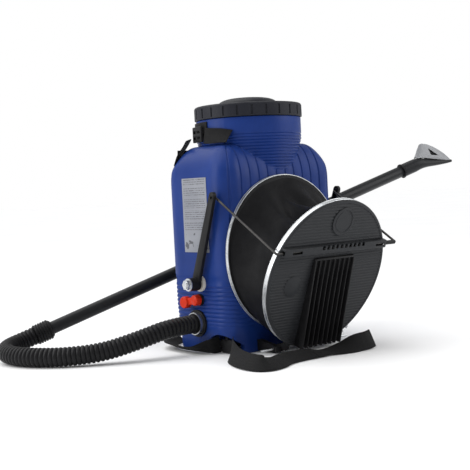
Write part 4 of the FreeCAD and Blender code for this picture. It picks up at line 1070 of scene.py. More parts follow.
# ---- bellows -----------------------------------------------------------------------------------------
@dataclass
class Bellows:
    """The bellows: clamp bands, leathercloth sleeve, ribbed board, crossbar and rain louvres."""

    hinge: Triple = (0.0, -147.0 * MM, 10.0 * MM)
    tilt: float = 21.0
    ring: float = 166.0 * MM
    ring_z: float = 203.8 * MM
    plate_y: float = -104.0 * MM
    board: float = 163.0 * MM
    centre: float = 165.0 * MM
    set_back: float = 4.0 * MM
    rim: float = 14.0 * MM
    band_width: float = 10.0 * MM
    rib_pitch: float = 6.5 * MM
    crossbar_up: float = 228.0 * MM
    crossbar_half: float = 149.0 * MM
    fins: int = 9
    fin_pitch: float = 14.0 * MM
    fin_top: float = 207.0 * MM
    fin_shift: float = 5.0 * MM
    fin_low: float = 12.0 * MM
    ears_at: float = -36.0
    sleeve_flat: Pair = (1.06, 0.215)
    sleeve_area: float = 0.1405

    @property
    def on_board(self) -> Matrix:
        """Moves a piece drawn upright onto the tilted board."""
        return Matrix.Translation(Vector(self.hinge)) @ Matrix.Rotation(math.radians(self.tilt), 4, "X")

    @property
    def face(self) -> float:
        """How far out the board's outer face lies, upright."""
        return -self.set_back - self.rim

    def to_ears(self, z: float) -> Matrix:
        """Moves a piece drawn below a ring to where the ring's band closes, z being the ring's middle."""
        return Matrix.Translation((0, 0, z)) @ Matrix.Rotation(math.radians(self.ears_at), 4, "Y")

    def clamp_band(self, radius: float, y0: float, y1: float, z: float) -> bpy.types.Object:
        """A clamp band with turned-over edges and its two screw ears.

        Args:
            radius: The ring it grips.
            y0: Its outer side.
            y1: Its inner side.
            z: The ring's middle.

        Returns:
            The band, closed by its ears at the lower left.
        """
        wide = y1 - y0
        profile = [(radius + 0.02 * MM, 0.0), (radius + 1.2 * MM, 0.0), (radius + 1.9 * MM, 0.5 * MM),
                   (radius + 1.9 * MM, 1.3 * MM), (radius + 1.3 * MM, 1.9 * MM),
                   (radius + 1.3 * MM, wide - 1.9 * MM), (radius + 1.9 * MM, wide - 1.3 * MM),
                   (radius + 1.9 * MM, wide - 0.5 * MM), (radius + 1.2 * MM, wide),
                   (radius + 0.02 * MM, wide),
                   (radius + 0.02 * MM, 0.0)]
        parts = [Bench.turned(profile, (0, y0, z), (0, 1, 0), steps=160)]
        for side in (-1, 1):
            ear = Bench.block((side * 6 * MM - 0.9 * MM, y0 + 0.6 * MM, -radius - 14 * MM),
                              (side * 6 * MM + 0.9 * MM, y1 - 0.6 * MM, -radius - 0.6 * MM), 0.7 * MM)
            ear.data.transform(self.to_ears(z))
            parts.append(ear)
        return Bench.join(parts)

    def band_screw(self, radius: float, y: float, z: float) -> bpy.types.Object:
        """A slotted cheese-head screw with its square nut."""
        low = -radius - 9 * MM
        shank = Bench.turned([(0, 0), (1.9 * MM, 0), (1.9 * MM, 31 * MM), (1.5 * MM, 32 * MM),
                              (0, 32 * MM)],
                             (-16 * MM, y, low), (1, 0, 0), steps=16)
        head = Bench.turned([(0, 0), (2.9 * MM, 0), (3.5 * MM, 0.8 * MM), (3.5 * MM, 5 * MM), (0, 5 * MM)],
                            (-12.2 * MM, y, low), (1, 0, 0), steps=24)
        slot = Bench.block((-13.0 * MM, y - 4 * MM, low - 0.5 * MM),
                           (-11.2 * MM, y + 4 * MM, low + 0.5 * MM))
        Bench.cut(head, slot)
        nut = Bench.block((7 * MM, y - 3.4 * MM, low - 3.6 * MM), (10.6 * MM, y + 3.4 * MM, low + 3.6 * MM),
                          0.5 * MM)
        screw = Bench.join([shank, head, nut])
        screw.data.transform(self.to_ears(z))
        return screw

    def sleeve(self) -> bpy.types.Object:
        """The leathercloth sleeve, folded inwards above and tight below.

        Returns:
            The sleeve as one thin cloth.
        """
        around, along = 220, 44
        low_centre = Vector((0, self.plate_y - 0.5 * MM, self.ring_z))
        high_centre = self.on_board @ Vector((0, -self.set_back + 1.0 * MM, self.centre))
        tilt = math.radians(self.tilt)
        up_low, up_high = Vector((0, 0, 1)), Vector((0, -math.sin(tilt), math.cos(tilt)))
        creases = ((4, 9, 0.020, 26), (-24, 8, 0.017, -20), (33, 9, 0.016, 16), (-52, 11, 0.013, -14),
                   (62, 12, 0.011, 12), (-88, 14, 0.008, -6), (96, 14, 0.008, 6), (-122, 15, 0.006, 0),
                   (128, 15, 0.006, 0))

        def place(i: int, j: int) -> Vector:
            """Place of one grid point."""
            turn, share = math.tau * i / around, j / along
            rise = 0.5 + 0.5 * math.cos(turn)
            radius_low, radius_high = self.ring - 3 * MM, self.board - 5 * MM
            radial_low = Vector((math.sin(turn), 0, 0)) + up_low * math.cos(turn)
            radial_high = Vector((math.sin(turn), 0, 0)) + up_high * math.cos(turn)
            middle = low_centre.lerp(high_centre, share)
            radial = radial_low.lerp(radial_high, share).normalized()
            arch = math.sin(math.pi * share)
            fold = 34 * MM * ease(rise * 1.15 - 0.1) * arch ** 0.8
            degrees = math.degrees(turn if turn < math.pi else turn - math.tau)
            for at, wide, deep, slant in creases:
                away = (degrees - at - slant * (share - 0.5)) / wide
                fold += deep * arch ** 0.7 * math.exp(-away * away)
            fold -= 4 * MM * (1 - rise) * arch
            radius = radius_low + (radius_high - radius_low) * share - fold
            return middle + radial * radius

        piece = Bench.wrapped(around, along, place)
        Bench.recalculate(piece)
        Bench.modify(piece, "SOLIDIFY", thickness=1.6 * MM, offset=-1.0)
        return Bench.settle(piece, "bellows_sleeve", smooth=60, outward=False)

    def sleeve_flange(self) -> bpy.types.Object:
        """Flat turned edge of the cloth on the fixed plate, under its band."""
        profile = [(self.ring - 22 * MM, 0), (self.ring - 1.0 * MM, 0), (self.ring - 0.2 * MM, 0.8 * MM),
                   (self.ring - 0.2 * MM, 2.6 * MM), (self.ring - 22 * MM, 2.6 * MM),
                   (self.ring - 22 * MM, 0)]
        return Bench.settle(Bench.turned(profile, (0, self.plate_y - 2.6 * MM, self.ring_z), (0, 1, 0),
                                         steps=160),
                            "sleeve_flange")

    def board_face(self) -> bpy.types.Object:
        """The board's ribbed face with its rolled rim.

        Returns:
            The board, upright.
        """
        radius = self.board - 5.5 * MM
        count = int(2 * radius / self.rib_pitch)
        stops = [(-radius, 0.0)]
        start = -self.rib_pitch * count / 2
        for k in range(count):
            foot = start + self.rib_pitch * k
            stops += [(foot + 0.5 * MM, 0.0), (foot + 1.2 * MM, 1.0), (foot + 3.4 * MM, 1.0),
                      (foot + 4.6 * MM, 0.15)]
        stops = [(z, h) for z, h in stops if abs(z) < radius] + [(radius, 0.0)]
        columns = 40

        def place(i: int, j: int) -> Vector:
            """Place of one grid point."""
            z, lift = stops[j]
            half = math.sqrt(max(0.0, radius * radius - z * z))
            return Vector(((i / columns * 2 - 1) * half, self.face - 1.3 * MM * lift + 0.6 * MM,
                           self.centre + z))

        ribs = Bench.wrapped(columns, len(stops) - 1, place)
        Bench.recalculate(ribs)
        Bench.modify(ribs, "SOLIDIFY", thickness=3.0 * MM, offset=-1.0)
        outer = self.board
        profile = [(outer - 13 * MM, 13.9 * MM), (outer - 0.6 * MM, 13.9 * MM),
                   (outer - 0.1 * MM, 13.3 * MM),
                   (outer - 0.1 * MM, 3.4 * MM), (outer + 1.4 * MM, 3.2 * MM), (outer + 1.9 * MM, 2.2 * MM),
                   (outer + 1.4 * MM, 0.6 * MM), (outer, -0.6 * MM), (outer - 2.4 * MM, -1.2 * MM),
                   (outer - 5.0 * MM, -0.8 * MM), (outer - 6.2 * MM, 0.6 * MM),
                   (outer - 6.6 * MM, 3.6 * MM),
                   (outer - 13 * MM, 3.8 * MM), (outer - 13 * MM, 13.9 * MM)]
        rim = Bench.turned(profile, (0, self.face, self.centre), (0, 1, 0), steps=160)
        return Bench.settle(Bench.join([ribs, rim]), "bellows_board_face", smooth=30, move=self.on_board,
                            outward=False)

    def roundels(self) -> bpy.types.Object:
        """Two plain round bosses on the ribs: a ringed medallion above and a flat pad at the left."""
        medal = [(0, -2.2 * MM), (21 * MM, -2.2 * MM), (22 * MM, -1.4 * MM), (25 * MM, -1.4 * MM),
                 (26 * MM, -2.6 * MM), (29 * MM, -2.6 * MM), (30 * MM, -1.8 * MM), (30 * MM, 1.5 * MM),
                 (0, 1.5 * MM)]
        pad = [(0, -1.6 * MM), (21 * MM, -1.6 * MM), (22.5 * MM, -0.8 * MM), (22.5 * MM, 1.5 * MM),
               (0, 1.5 * MM)]
        parts = [Bench.turned(medal, (8 * MM, self.face, 283 * MM), (0, 1, 0), steps=64),
                 Bench.turned(pad, (-97 * MM, self.face, 150 * MM), (0, 1, 0), steps=56)]
        return Bench.settle(Bench.join(parts), "board_roundels", move=self.on_board)

    def crossbar(self) -> bpy.types.Object:
        """Channel across the board with end slots and a row of notches."""
        y0, y1 = self.face - 12 * MM, self.face + 1.5 * MM
        z0, z1 = self.crossbar_up - 8.5 * MM, self.crossbar_up + 8.5 * MM
        bar = Bench.block((-self.crossbar_half, y0, z0), (self.crossbar_half, y1, z1), 1.6 * MM, 3)
        cuts = [Bench.block((-200 * MM, -28.5 * MM, self.crossbar_up - 4.5 * MM),
                            (200 * MM, -19.5 * MM, self.crossbar_up + 4.5 * MM))]
        for x0, x1 in ((-128, -101), (116, 143)):
            cuts.append(Bench.block((x0 * MM, y0 - 2 * MM, self.crossbar_up - 3 * MM),
                                    (x1 * MM, -25 * MM, self.crossbar_up + 3 * MM)))
        for k in range(10):
            x0 = (-46 + 13 * k) * MM
            cuts.append(Bench.block((x0, y0 - 2 * MM, self.crossbar_up + 1 * MM),
                                    (x0 + 8 * MM, -25 * MM, self.crossbar_up + 10 * MM)))
        for cutter in cuts:
            Bench.cut(bar, cutter)
        fillets = [Bench.plate([(x, y1, z0 - 5 * MM), (x, y1, z0 + 1 * MM), (x, y0 + 4 * MM, z0 + 1 * MM)],
                               (2.0 * MM, 0, 0), 0.4 * MM) for x in (-140 * MM, -75 * MM, 88 * MM, 138 * MM)]
        return Bench.settle(Bench.join([bar, *fillets]), "board_crossbar_channel", move=self.on_board)

    def louvre(self) -> bpy.types.Object:
        """Nine rain louvres between cheeks, under a rounded head, deeper towards the bottom."""
        half = self.fin_pitch * (self.fins - 1) / 2
        deep_top, deep_low = 7 * MM, 24 * MM

        def blade(x: float, thick: float, extra: float) -> bpy.types.Object:
            """One upright blade."""
            outline = [(x - thick / 2, self.face + 1 * MM, self.fin_top),
                       (x - thick / 2, self.face - deep_top + 3 * MM, self.fin_top),
                       (x - thick / 2, self.face - deep_top - extra, self.fin_top - 6 * MM),
                       (x - thick / 2, self.face - deep_low - extra, self.fin_low + 2 * MM),
                       (x - thick / 2, self.face - deep_low + 4 * MM, self.fin_low),
                       (x - thick / 2, self.face + 1 * MM, self.fin_low)]
            return Bench.plate(outline, (thick, 0, 0), 0.7 * MM)

        first = blade(0.0, 2.2 * MM, 0.0)
        parts = [Bench.copy(first, Matrix.Translation((-half + self.fin_pitch * k, 0, 0)))
                 for k in range(1, self.fins - 1)]
        bpy.data.objects.remove(first)
        parts += [blade(side * half, 3.4 * MM, 0.6 * MM) for side in (-1, 1)]
        parts.append(Bench.block((-half, self.face - 6.5 * MM, self.fin_top - 4.5 * MM),
                                 (half, self.face + 1 * MM, self.fin_top + 0.5 * MM), 1.6 * MM, 3))
        parts.append(Bench.block((-half, self.face - 5 * MM, self.fin_low),
                                 (half, self.face + 1 * MM, self.fin_low + 3.5 * MM), 1.0 * MM))
        parts.append(Bench.block((-half, self.face - 1.9 * MM, self.fin_low + 1 * MM),
                                 (half, self.face + 1 * MM, self.fin_top - 1 * MM)))
        shift = Matrix.Translation((self.fin_shift, 0, 0))
        return Bench.settle(Bench.join(parts), "rain_louvres", smooth=40, move=self.on_board @ shift)

    def build(self, frame: dict) -> None:
        """Make and dress the bellows.
        """
        nodes = frame["nodes"]
        back = self.clamp_band(self.ring, self.plate_y - 2 * MM, self.plate_y + 5.5 * MM, self.ring_z)
        Bench.settle(back, "fixed_ring_band")
        front = self.clamp_band(self.board, -self.set_back - self.band_width, -self.set_back, self.centre)
        Bench.settle(front, "board_ring_band", move=self.on_board)
        back_screw = Bench.settle(self.band_screw(self.ring, self.plate_y + 1.75 * MM, self.ring_z),
                                  "fixed_band_screw")
        front_screw = Bench.settle(self.band_screw(self.board, -self.set_back - self.band_width / 2,
                                                   self.centre),
                                   "board_band_screw_set", move=self.on_board)
        for row in ((back, ZINC, Body.HOPPER, "back_clamp_band"),
                    (back_screw, ZINC, Body.HOPPER, "back_band_screw"),
                    (front, ZINC, Body.BOARD, "board_clamp_band"),
                    (front_screw, ZINC, Body.BOARD, "board_band_screw"),
                    (self.sleeve_flange(), MOULDED_BLACK, Body.HOPPER),
                    (self.board_face(), BOARD_GREY, Body.BOARD, "bellows_board"),
                    (self.roundels(), BOARD_GREY, Body.BOARD),
                    (self.crossbar(), BOARD_GREY, Body.BOARD, "board_crossbar"),
                    (self.louvre(), MOULDED_BLACK, Body.BOARD, "intake_fins")):
            fit(*row)
        sleeve = self.sleeve()
        SKIN.dress(sleeve)
        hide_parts("bellows_skin")
        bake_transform(sleeve)
        MOULDED_BLACK.dress(*(nodes[n] for n in ("bellows_back_plate", "hinge_brackets",
                                                 "board_hinge_lugs")))
        ZINC.dress(nodes["hinge_rod"], nodes["plate_screws"])
        RUBBER.dress(nodes["intake_flap"], nodes["outlet_flap"])
        WIRE_STEEL.dress(nodes["intake_flap_pin"], nodes["outlet_flap_pin"])


# ---- pump linkage ------------------------------------------------------------------------------------
@dataclass
class PumpLinkage:
    """Crank arms, hand lever and the wire bail that works the board."""

    crank: Pair = (-7.0 * MM, 148.0 * MM)
    tip: Pair = (-75.0 * MM, 329.0 * MM)
    arm_width: float = 22.0 * MM
    arm_thick: float = 8.0 * MM
    arm_left: float = -180.0 * MM
    arm_right: float = 190.0 * MM
    hub: float = 14.0 * MM
    wire: float = 2.5 * MM
    lever_x: float = 179.0 * MM
    lever_length: float = 345.0 * MM
    lever_rise: float = 8.0

    def arm(self, x: float, inner: int, hub_from: float, hub_to: float, name: str) -> bpy.types.Object:
        """One crank arm: a trayed bar with crossed ribs, a long hub and a clip round the wire's eye.

        Args:
            x: The arm's left face.
            inner: The way its trayed face looks, 1 for +X and -1 for -X.
            hub_from: The hub's left end.
            hub_to: Its right end.
            name: The piece's name.

        Returns:
            The arm.
        """
        foot, tip = Vector((0, *self.crank)), Vector((0, *self.tip))
        up = (tip - foot).normalized()
        side = Vector((1, 0, 0)).cross(up)
        length = (tip - foot).length + 12 * MM
        half = self.arm_width / 2
        left = Vector((x, 0, 0))
        outline = []
        for k in range(9):
            angle = math.pi * k / 8
            outline.append(left + foot + up * (length - half * 0.7) + side * (half * 0.7 * math.cos(angle))
                           + up * (half * 0.7 * math.sin(angle)))
        outline += [left + foot - side * half, left + foot + side * half]
        bar = Bench.plate(outline, (self.arm_thick, 0, 0))
        Bench.tray(bar, (inner, 0, 0), 2.4 * MM, 5.6 * MM)
        parts = [Bench.soften(bar, 0.5 * MM, 2, 50)]
        cells = 7
        first, last = 17 * MM, length - 24 * MM
        for k in range(cells):
            low, high = first + (last - first) * k / cells, first + (last - first) * (k + 1) / cells
            reach = half - 3.5 * MM - 2 * MM * k / cells
            for lean in (-1, 1):
                a, b = foot + up * low - side * reach * lean, foot + up * high + side * reach * lean
                thick = (b - a).normalized().cross(Vector((1, 0, 0))) * 0.9 * MM
                rib = Bench.plate([a - thick + left, a + thick + left, b + thick + left, b - thick + left],
                                  (self.arm_thick - 0.4 * MM, 0, 0))
                rib.data.transform(Matrix.Translation((0.2 * MM, 0, 0)))
                parts.append(rib)
        wide = hub_to - hub_from
        parts.append(Bench.turned([(7.02 * MM, 0), (self.hub - 1 * MM, 0), (self.hub, 1 * MM),
                                   (self.hub, wide - 1 * MM), (self.hub - 1 * MM, wide), (7.02 * MM, wide),
                                   (7.02 * MM, 0)], (hub_from, *self.crank), (1, 0, 0), steps=56))
        boss = self.arm_thick
        parts.append(Bench.turned([(self.wire, -0.4 * MM), (6.6 * MM, -0.4 * MM), (7.2 * MM, 0.2 * MM),
                                   (7.2 * MM, boss - 0.2 * MM), (6.6 * MM, boss + 0.4 * MM),
                                   (self.wire, boss + 0.4 * MM), (self.wire, -0.4 * MM)], (x, *self.tip),
                                   (1, 0, 0),
                                  steps=32))
        return Bench.settle(Bench.join(parts), name, smooth=35)

    def lever_point(self, reach: float) -> Vector:
        """A point along the hand lever."""
        rise = math.radians(self.lever_rise)
        return Vector((self.lever_x, self.crank[0] + reach * math.cos(rise),
                       self.crank[1] + reach * math.sin(rise)))

    def lever(self) -> bpy.types.Object:
        """Hand lever: a tube flattened to an eye on the shaft."""
        along = (self.lever_point(1) - self.lever_point(0)).normalized()
        length = self.lever_length - 10 * MM
        tube = Bench.turned([(8.5 * MM, 0), (9.2 * MM, 0), (10 * MM, 2 * MM), (10 * MM, length - 1 * MM),
                             (9.4 * MM, length), (8.5 * MM, length), (8.5 * MM, 0)],
                             self.lever_point(10 * MM), along,
                            steps=40)
        eye = Bench.turned([(7.02 * MM, 0), (16 * MM, 0), (17 * MM, 1 * MM), (17 * MM, 18.6 * MM),
                            (16 * MM, 19.6 * MM), (7.02 * MM, 19.6 * MM), (7.02 * MM, 0)],
                           (self.lever_x - 9.8 * MM, *self.crank), (1, 0, 0), steps=56)
        return Bench.settle(Bench.join([tube, eye]), "hand_lever")

    def grip(self) -> bpy.types.Object:
        """Rubber grip with finger ridges and a flange."""
        start, end = self.lever_point(self.lever_length - 105 * MM), self.lever_point(self.lever_length + 4.6 * MM)
        length = (end - start).length
        profile: list[Pair] = [(10.05 * MM, 0), (14.4 * MM, 0), (15 * MM, 0.8 * MM), (15 * MM, 4 * MM),
                               (13.4 * MM, 5.5 * MM)]
        for k in range(1, 60):
            z = 6 * MM + (length - 16 * MM) * k / 60
            profile.append((13.7 * MM + 0.9 * MM * math.sin(math.tau * 9 * k / 60), z))
        profile += [(14 * MM, length - 8 * MM), (14 * MM, length - 3 * MM), (12 * MM, length - 0.6 * MM),
                    (0, length)]
        piece = Bench.turned(profile, start, end - start, steps=40)
        return Bench.settle(piece, "lever_grip", outward=False)

    def bail(self) -> bpy.types.Object:
        """The spring wire: hooked through both arms, bent round into the crossbar.

        Returns:
            The wire.
        """
        low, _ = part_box("bail_wire")
        bellows = Bellows()
        lie = bellows.on_board @ Vector((0, -24 * MM, bellows.crossbar_up))
        y, z = self.tip
        left, right = -167.5 * MM, 184 * MM
        turn = 4.5 * MM
        way = Vector((0, lie.y - y, lie.z - z)).normalized() * turn
        route = [(low.x + self.wire, y, z), (left - turn, y, z), (left, y, z), (left, y + way.y, z + way.z),
                 (left, lie.y - way.y, lie.z - way.z), (left, lie.y, lie.z), (left + turn, lie.y, lie.z),
                 (right - turn, lie.y, lie.z), (right, lie.y, lie.z), (right, lie.y - way.y, lie.z - way.z),
                 (right, y + way.y, z + way.z), (right, y, z), (right + turn, y, z), (204 * MM, y, z)]
        curve = spline_curve("bail_route", route)
        curve.data.bevel_depth = self.wire
        curve.data.bevel_resolution = 5
        curve.data.use_fill_caps = True
        Bench.take(curve)
        bpy.ops.object.convert(target="MESH")
        piece = bpy.context.object
        return Bench.settle(piece, "wire_bail", smooth=40)

    def build(self, frame: dict) -> None:
        """Make and dress the linkage.
        """
        nodes = frame["nodes"]
        left_arm = self.arm(self.arm_left, 1, -196 * MM, -172 * MM, "left_crank_arm")
        right_arm = self.arm(self.arm_right, -1, 189 * MM, 201 * MM, "right_crank_arm")
        for row in ((left_arm, MOULDED_BLACK, Body.CRANK, "crank_arm_left"),
                    (right_arm, MOULDED_BLACK, Body.CRANK, "crank_arm_right"),
                    (self.lever(), ZINC, Body.CRANK, "pump_lever"),
                    (self.grip(), RUBBER, Body.CRANK, "pump_grip"),
                    (self.bail(), WIRE_STEEL, Body.BAIL, "bail_wire")):
            fit(*row)
        ZINC.dress(*(nodes[n] for n in ("crank_shaft", "crank_washers", "crank_nuts")))
        MOULDED_BLACK.dress(nodes["bail_sleeve"], nodes["agitator"])
        ACETAL.dress(nodes["shaft_bush_left"], nodes["shaft_bush_right"])


# ---- hose, lance and dosing --------------------------------------------------------------------------
def spline_curve(name: str, points: Sequence[Triple]) -> bpy.types.Object:
    """A smooth line led by control points.

    Args:
        name: The curve's name.
        points: The control points, in metres.

    Returns:
        The curve.
    """
    data = bpy.data.curves.new(name, "CURVE")
    data.dimensions = "3D"
    data.resolution_u = 24
    line = data.splines.new("NURBS")
    line.points.add(len(points) - 1)
    for control, point in zip(line.points, points):
        control.co = (*point, 1.0)
    line.order_u = 3
    line.use_endpoint_u = True
    made = bpy.data.objects.new(name, data)
    bpy.context.scene.collection.objects.link(made)
    return made


def read_line(curve: bpy.types.Object) -> list[Vector]:
    """The stations of a curve's own smooth line."""
    depsgraph = bpy.context.evaluated_depsgraph_get()
    mesh = bpy.data.meshes.new_from_object(curve.evaluated_get(depsgraph))
    line = [p.co.copy() for p in mesh.vertices]
    bpy.data.meshes.remove(mesh)
    return line


@dataclass
class Track:
    """Stations at given distances along a line, each with its two cross directions."""

    line: list[Vector]

    def length(self) -> float:
        """The line's length."""
        return sum((b - a).length for a, b in zip(self.line, self.line[1:]))

    def stations(self, reaches: Iterable[float]) -> list[tuple[Vector, Vector, Vector]]:
        """Walk the line.

        Args:
            reaches: Rising distances from its start.

        Returns:
            For each the point and two directions square to the line, carried along without twist.
        """
        spans, made, at, gone = list(zip(self.line, self.line[1:])), [], 0, 0.0
        side = None
        for reach in reaches:
            while at < len(spans) - 1 and gone + (spans[at][1] - spans[at][0]).length < reach:
                gone += (spans[at][1] - spans[at][0]).length
                at += 1
            a, b = spans[at]
            along = (b - a).normalized()
            before = (spans[max(0, at - 1)][1] - spans[max(0, at - 1)][0]).normalized()
            after = (spans[min(len(spans) - 1,
                               at + 1)][1] - spans[min(len(spans) - 1, at + 1)][0]).normalized()
            share = (reach - gone) / (b - a).length
            along = (before.lerp(along, min(1.0, 0.5 + share)) if share < 0.5
                     else along.lerp(after, share - 0.5)).normalized()
            point = a + (b - a) * share
            guess = Vector((0, 0, 1)) if side is None else side
            side = (guess - along * guess.dot(along)).normalized()
            made.append((point, side, along.cross(side)))
        return made


@dataclass
class HoseAndLance:
    """Corrugated hose from the hopper's foot, its cuff, the long lance and the fan nozzle."""

    route: tuple[Triple, ...] = (
        (-0.176, 0.008, 0.062), (-0.238, 0.008, 0.062), (-0.306, 0.027, 0.043), (-0.375, 0.056, 0.025),
        (-0.441, 0.100, 0.0205), (-0.480, 0.151, 0.0205), (-0.497, 0.202, 0.0205), (-0.4955, 0.248, 0.0225),
        (-0.472, 0.283, 0.027), (-0.4344, 0.2967, 0.0334), (-0.4016, 0.287, 0.0448))
    radius: float = 20.0 * MM
    valley: float = 17.2 * MM
    pitch: float = 9.2 * MM
    foot: Triple = (-0.378, 0.280, 0.053)
    head: Triple = (0.557, 0.003, 0.379)
    lance: float = 14.25 * MM
    wall: float = 1.6 * MM
    nozzle_bend: float = 25.0 * MM
    real_length: float = 0.569

    @property
    def along(self) -> Vector:
        """The lance's direction, foot to head."""
        return (Vector(self.head) - Vector(self.foot)).normalized()

    @property
    def level(self) -> Vector:
        """The way the nozzle points past its bend."""
        return Vector((self.along.x, self.along.y, 0)).normalized()

    def nozzle_point(self, reach: float, rise: float) -> Vector:
        """A point on the nozzle's middle plane, in millimetres past its bend and above it."""
        bend = Vector(self.head) + self.along * self.nozzle_bend
        return bend + self.level * (reach * MM) + Vector((0, 0, 1)) * (rise * MM)

    def hose(self) -> tuple[bpy.types.Object, list[Vector]]:
        """The corrugated hose.

        Returns:
            The hose and the line it follows.
        """
        curve = spline_curve("hose_route", self.route)
        line = read_line(curve)
        bpy.data.objects.remove(curve)
        track = Track(line)
        total = track.length()
        per, around = 8, 36
        count = round(total / self.pitch)
        reaches = [total * k / (count * per) for k in range(count * per + 1)]
        stations = track.stations(reaches)

        def place(i: int, j: int) -> Vector:
            """Place of one grid point."""
            point, side, other = stations[j]
            wave = abs(math.sin(math.pi * j / per)) ** 0.75
            radius = self.valley + (self.radius - self.valley) * wave
            turn = math.tau * i / around
            return point + (side * math.cos(turn) + other * math.sin(turn)) * radius

        piece = Bench.wrapped(around, count * per, place)
        Bench.fill_ends(piece)
        return Bench.settle(piece, "corrugated_hose", smooth=50), line

    def cuff(self) -> bpy.types.Object:
        """Ribbed cuff on the lance's foot."""
        start = Vector(self.foot) - self.along * 26 * MM
        outer = 22.4 * MM
        profile: list[Pair] = [(14.3 * MM, 0), (19 * MM, 0), (20.6 * MM, 0.8 * MM)]
        for k in range(6):
            z = 1.5 * MM + 5.9 * MM * k
            profile += [(20.0 * MM, z), (outer - 0.5 * MM, z + 0.9 * MM), (outer, z + 1.7 * MM),
                        (outer, z + 3.2 * MM), (outer - 0.5 * MM, z + 4.0 * MM), (20.0 * MM, z + 4.8 * MM)]
        profile += [(19.0 * MM, 38.2 * MM), (17.4 * MM, 40 * MM), (14.3 * MM, 40 * MM), (14.3 * MM, 0)]
        return Bench.settle(Bench.turned(profile, start, self.along, steps=56), "hose_cuff_ribbed")

    def tube(self) -> bpy.types.Object:
        """The lance: one plain tube with eased ends."""
        start = Vector(self.foot) - self.along * 22 * MM
        length = (Vector(self.head) - start).length
        r = self.lance
        profile = [(r - self.wall, 0), (r - 0.6 * MM, 0), (r - 0.02 * MM, 0.8 * MM),
                   (r - 0.02 * MM, length - 0.8 * MM), (r - 0.5 * MM, length), (r - self.wall, length),
                   (r - self.wall, 0)]
        return Bench.settle(Bench.turned(profile, start, self.along, steps=64), "lance_tube")

    def collar(self) -> bpy.types.Object:
        """Stop ring near the lance's tip, with a raised lip."""
        start = Vector(self.head) - self.along * 31 * MM
        profile = [(14.3 * MM, 0), (17.4 * MM, 0), (18.6 * MM, 0.9 * MM), (18.6 * MM, 3.0 * MM),
                   (17.6 * MM, 4.2 * MM), (17.6 * MM, 5 * MM), (14.3 * MM, 5 * MM), (14.3 * MM, 0)]
        return Bench.settle(Bench.turned(profile, start, self.along, steps=64), "lance_stop_ring")

    def nozzle_body(self) -> bpy.types.Object:
        """Bent socket that flows into a tapering spout, flat beneath, with an upright rib under the hood.

        Returns:
            The nozzle's lower half.
        """
        bend, level = self.nozzle_point(0, 0), self.level
        start = Vector(self.head) - self.along * 25.6 * MM
        line = [start + (bend - start) * (k / 8) for k in range(7)]
        line += [self.nozzle_point(reach, rise) for reach, rise in
                 ((4, -0.4), (14, -0.8), (28, -0.6), (44, 0.0), (60, 0.8), (76, 1.8), (92, 3.0),
                  (104, 4.2))]
        sizes = [(16.8, 16.8)] * 6 + [(16.8, 16.8), (16.6, 16.2), (15.4, 14.6), (13.6, 12.8), (11.6, 11.2),
                                      (9.8, 9.6), (8.0, 8.0), (6.2, 6.2), (4.6, 4.2)]
        around = 40
        axis = [(b - a).normalized() for a, b in zip(line, line[1:])] + [level]
        across = level.cross(Vector((0, 0, 1))).normalized()

        def place(i: int, j: int) -> Vector:
            """Place of one grid point."""
            turn = math.tau * i / around
            up = across.cross(axis[j]).normalized()
            wide, tall = sizes[j]
            rise = math.sin(turn)
            flat = ease((j - 6) / 3) if rise < 0 else 0.0
            rise *= 1 - 0.35 * flat
            return line[j] + across * (wide * MM * math.cos(turn)) + up * (tall * MM * rise)

        piece = Bench.wrapped(around, len(line) - 1, place)
        Bench.fill_ends(piece)
        rib = [self.nozzle_point(a, u) - across * 0.5 * MM
               for a, u in ((20, 8), (20, 42), (34, 42), (68, 24), (76, 7))]
        piece = Bench.join([piece, Bench.plate(rib, across * MM)])
        return Bench.settle(piece, "nozzle_spout", smooth=60)

    def nozzle_plate(self) -> bpy.types.Object:
        """Cloudy hood over the spout: a thin bowed blade with a three-cornered opening.

        Returns:
            The hood.
        """
        bend = self.nozzle_point(0, 0)
        across = self.level.cross(Vector((0, 0, 1))).normalized()
        crest = [(-8, 17), (-2, 36), (5, 49), (13, 52), (30, 49.5), (48, 43), (66, 34), (84, 23),
                 (98, 11.5), (104, 5)]
        heel = [(-6, 14), (0, 15), (6, 15.4), (14, 15), (30, 13.4), (48, 11.4), (66, 9.4), (84, 7.4),
                (98, 6), (104, 4)]
        rows = 10

        def place(i: int, j: int) -> Vector:
            """Place of one grid point."""
            (a0, u0), (a1, u1) = heel[i], crest[i]
            share = j / rows
            swell = 9.0 * math.cos(math.pi / 2 * share) * (1 - i / 9) ** 0.5
            return self.nozzle_point(a0 + (a1 - a0) * share, u0 + (u1 - u0) * share) + across * (swell * MM)

        near = Bench.wrapped(9, rows, place)
        far = Bench.copy(near, Matrix.Identity(4))
        for point in far.data.vertices:
            away = (point.co - bend).dot(across)
            point.co -= across * (2 * away)
        hood = Bench.join([near, far])
        Bench.recalculate(hood, 0.2 * MM)
        Bench.modify(hood, "SOLIDIFY", thickness=1.4 * MM, offset=0.0)
        window = [self.nozzle_point(a, u) - across * 30 * MM for a, u in ((30, 40), (37, 22), (62, 20))]
        Bench.cut(hood, Bench.plate(window, across * 60 * MM))
        return Bench.settle(hood, "nozzle_hood", smooth=50)

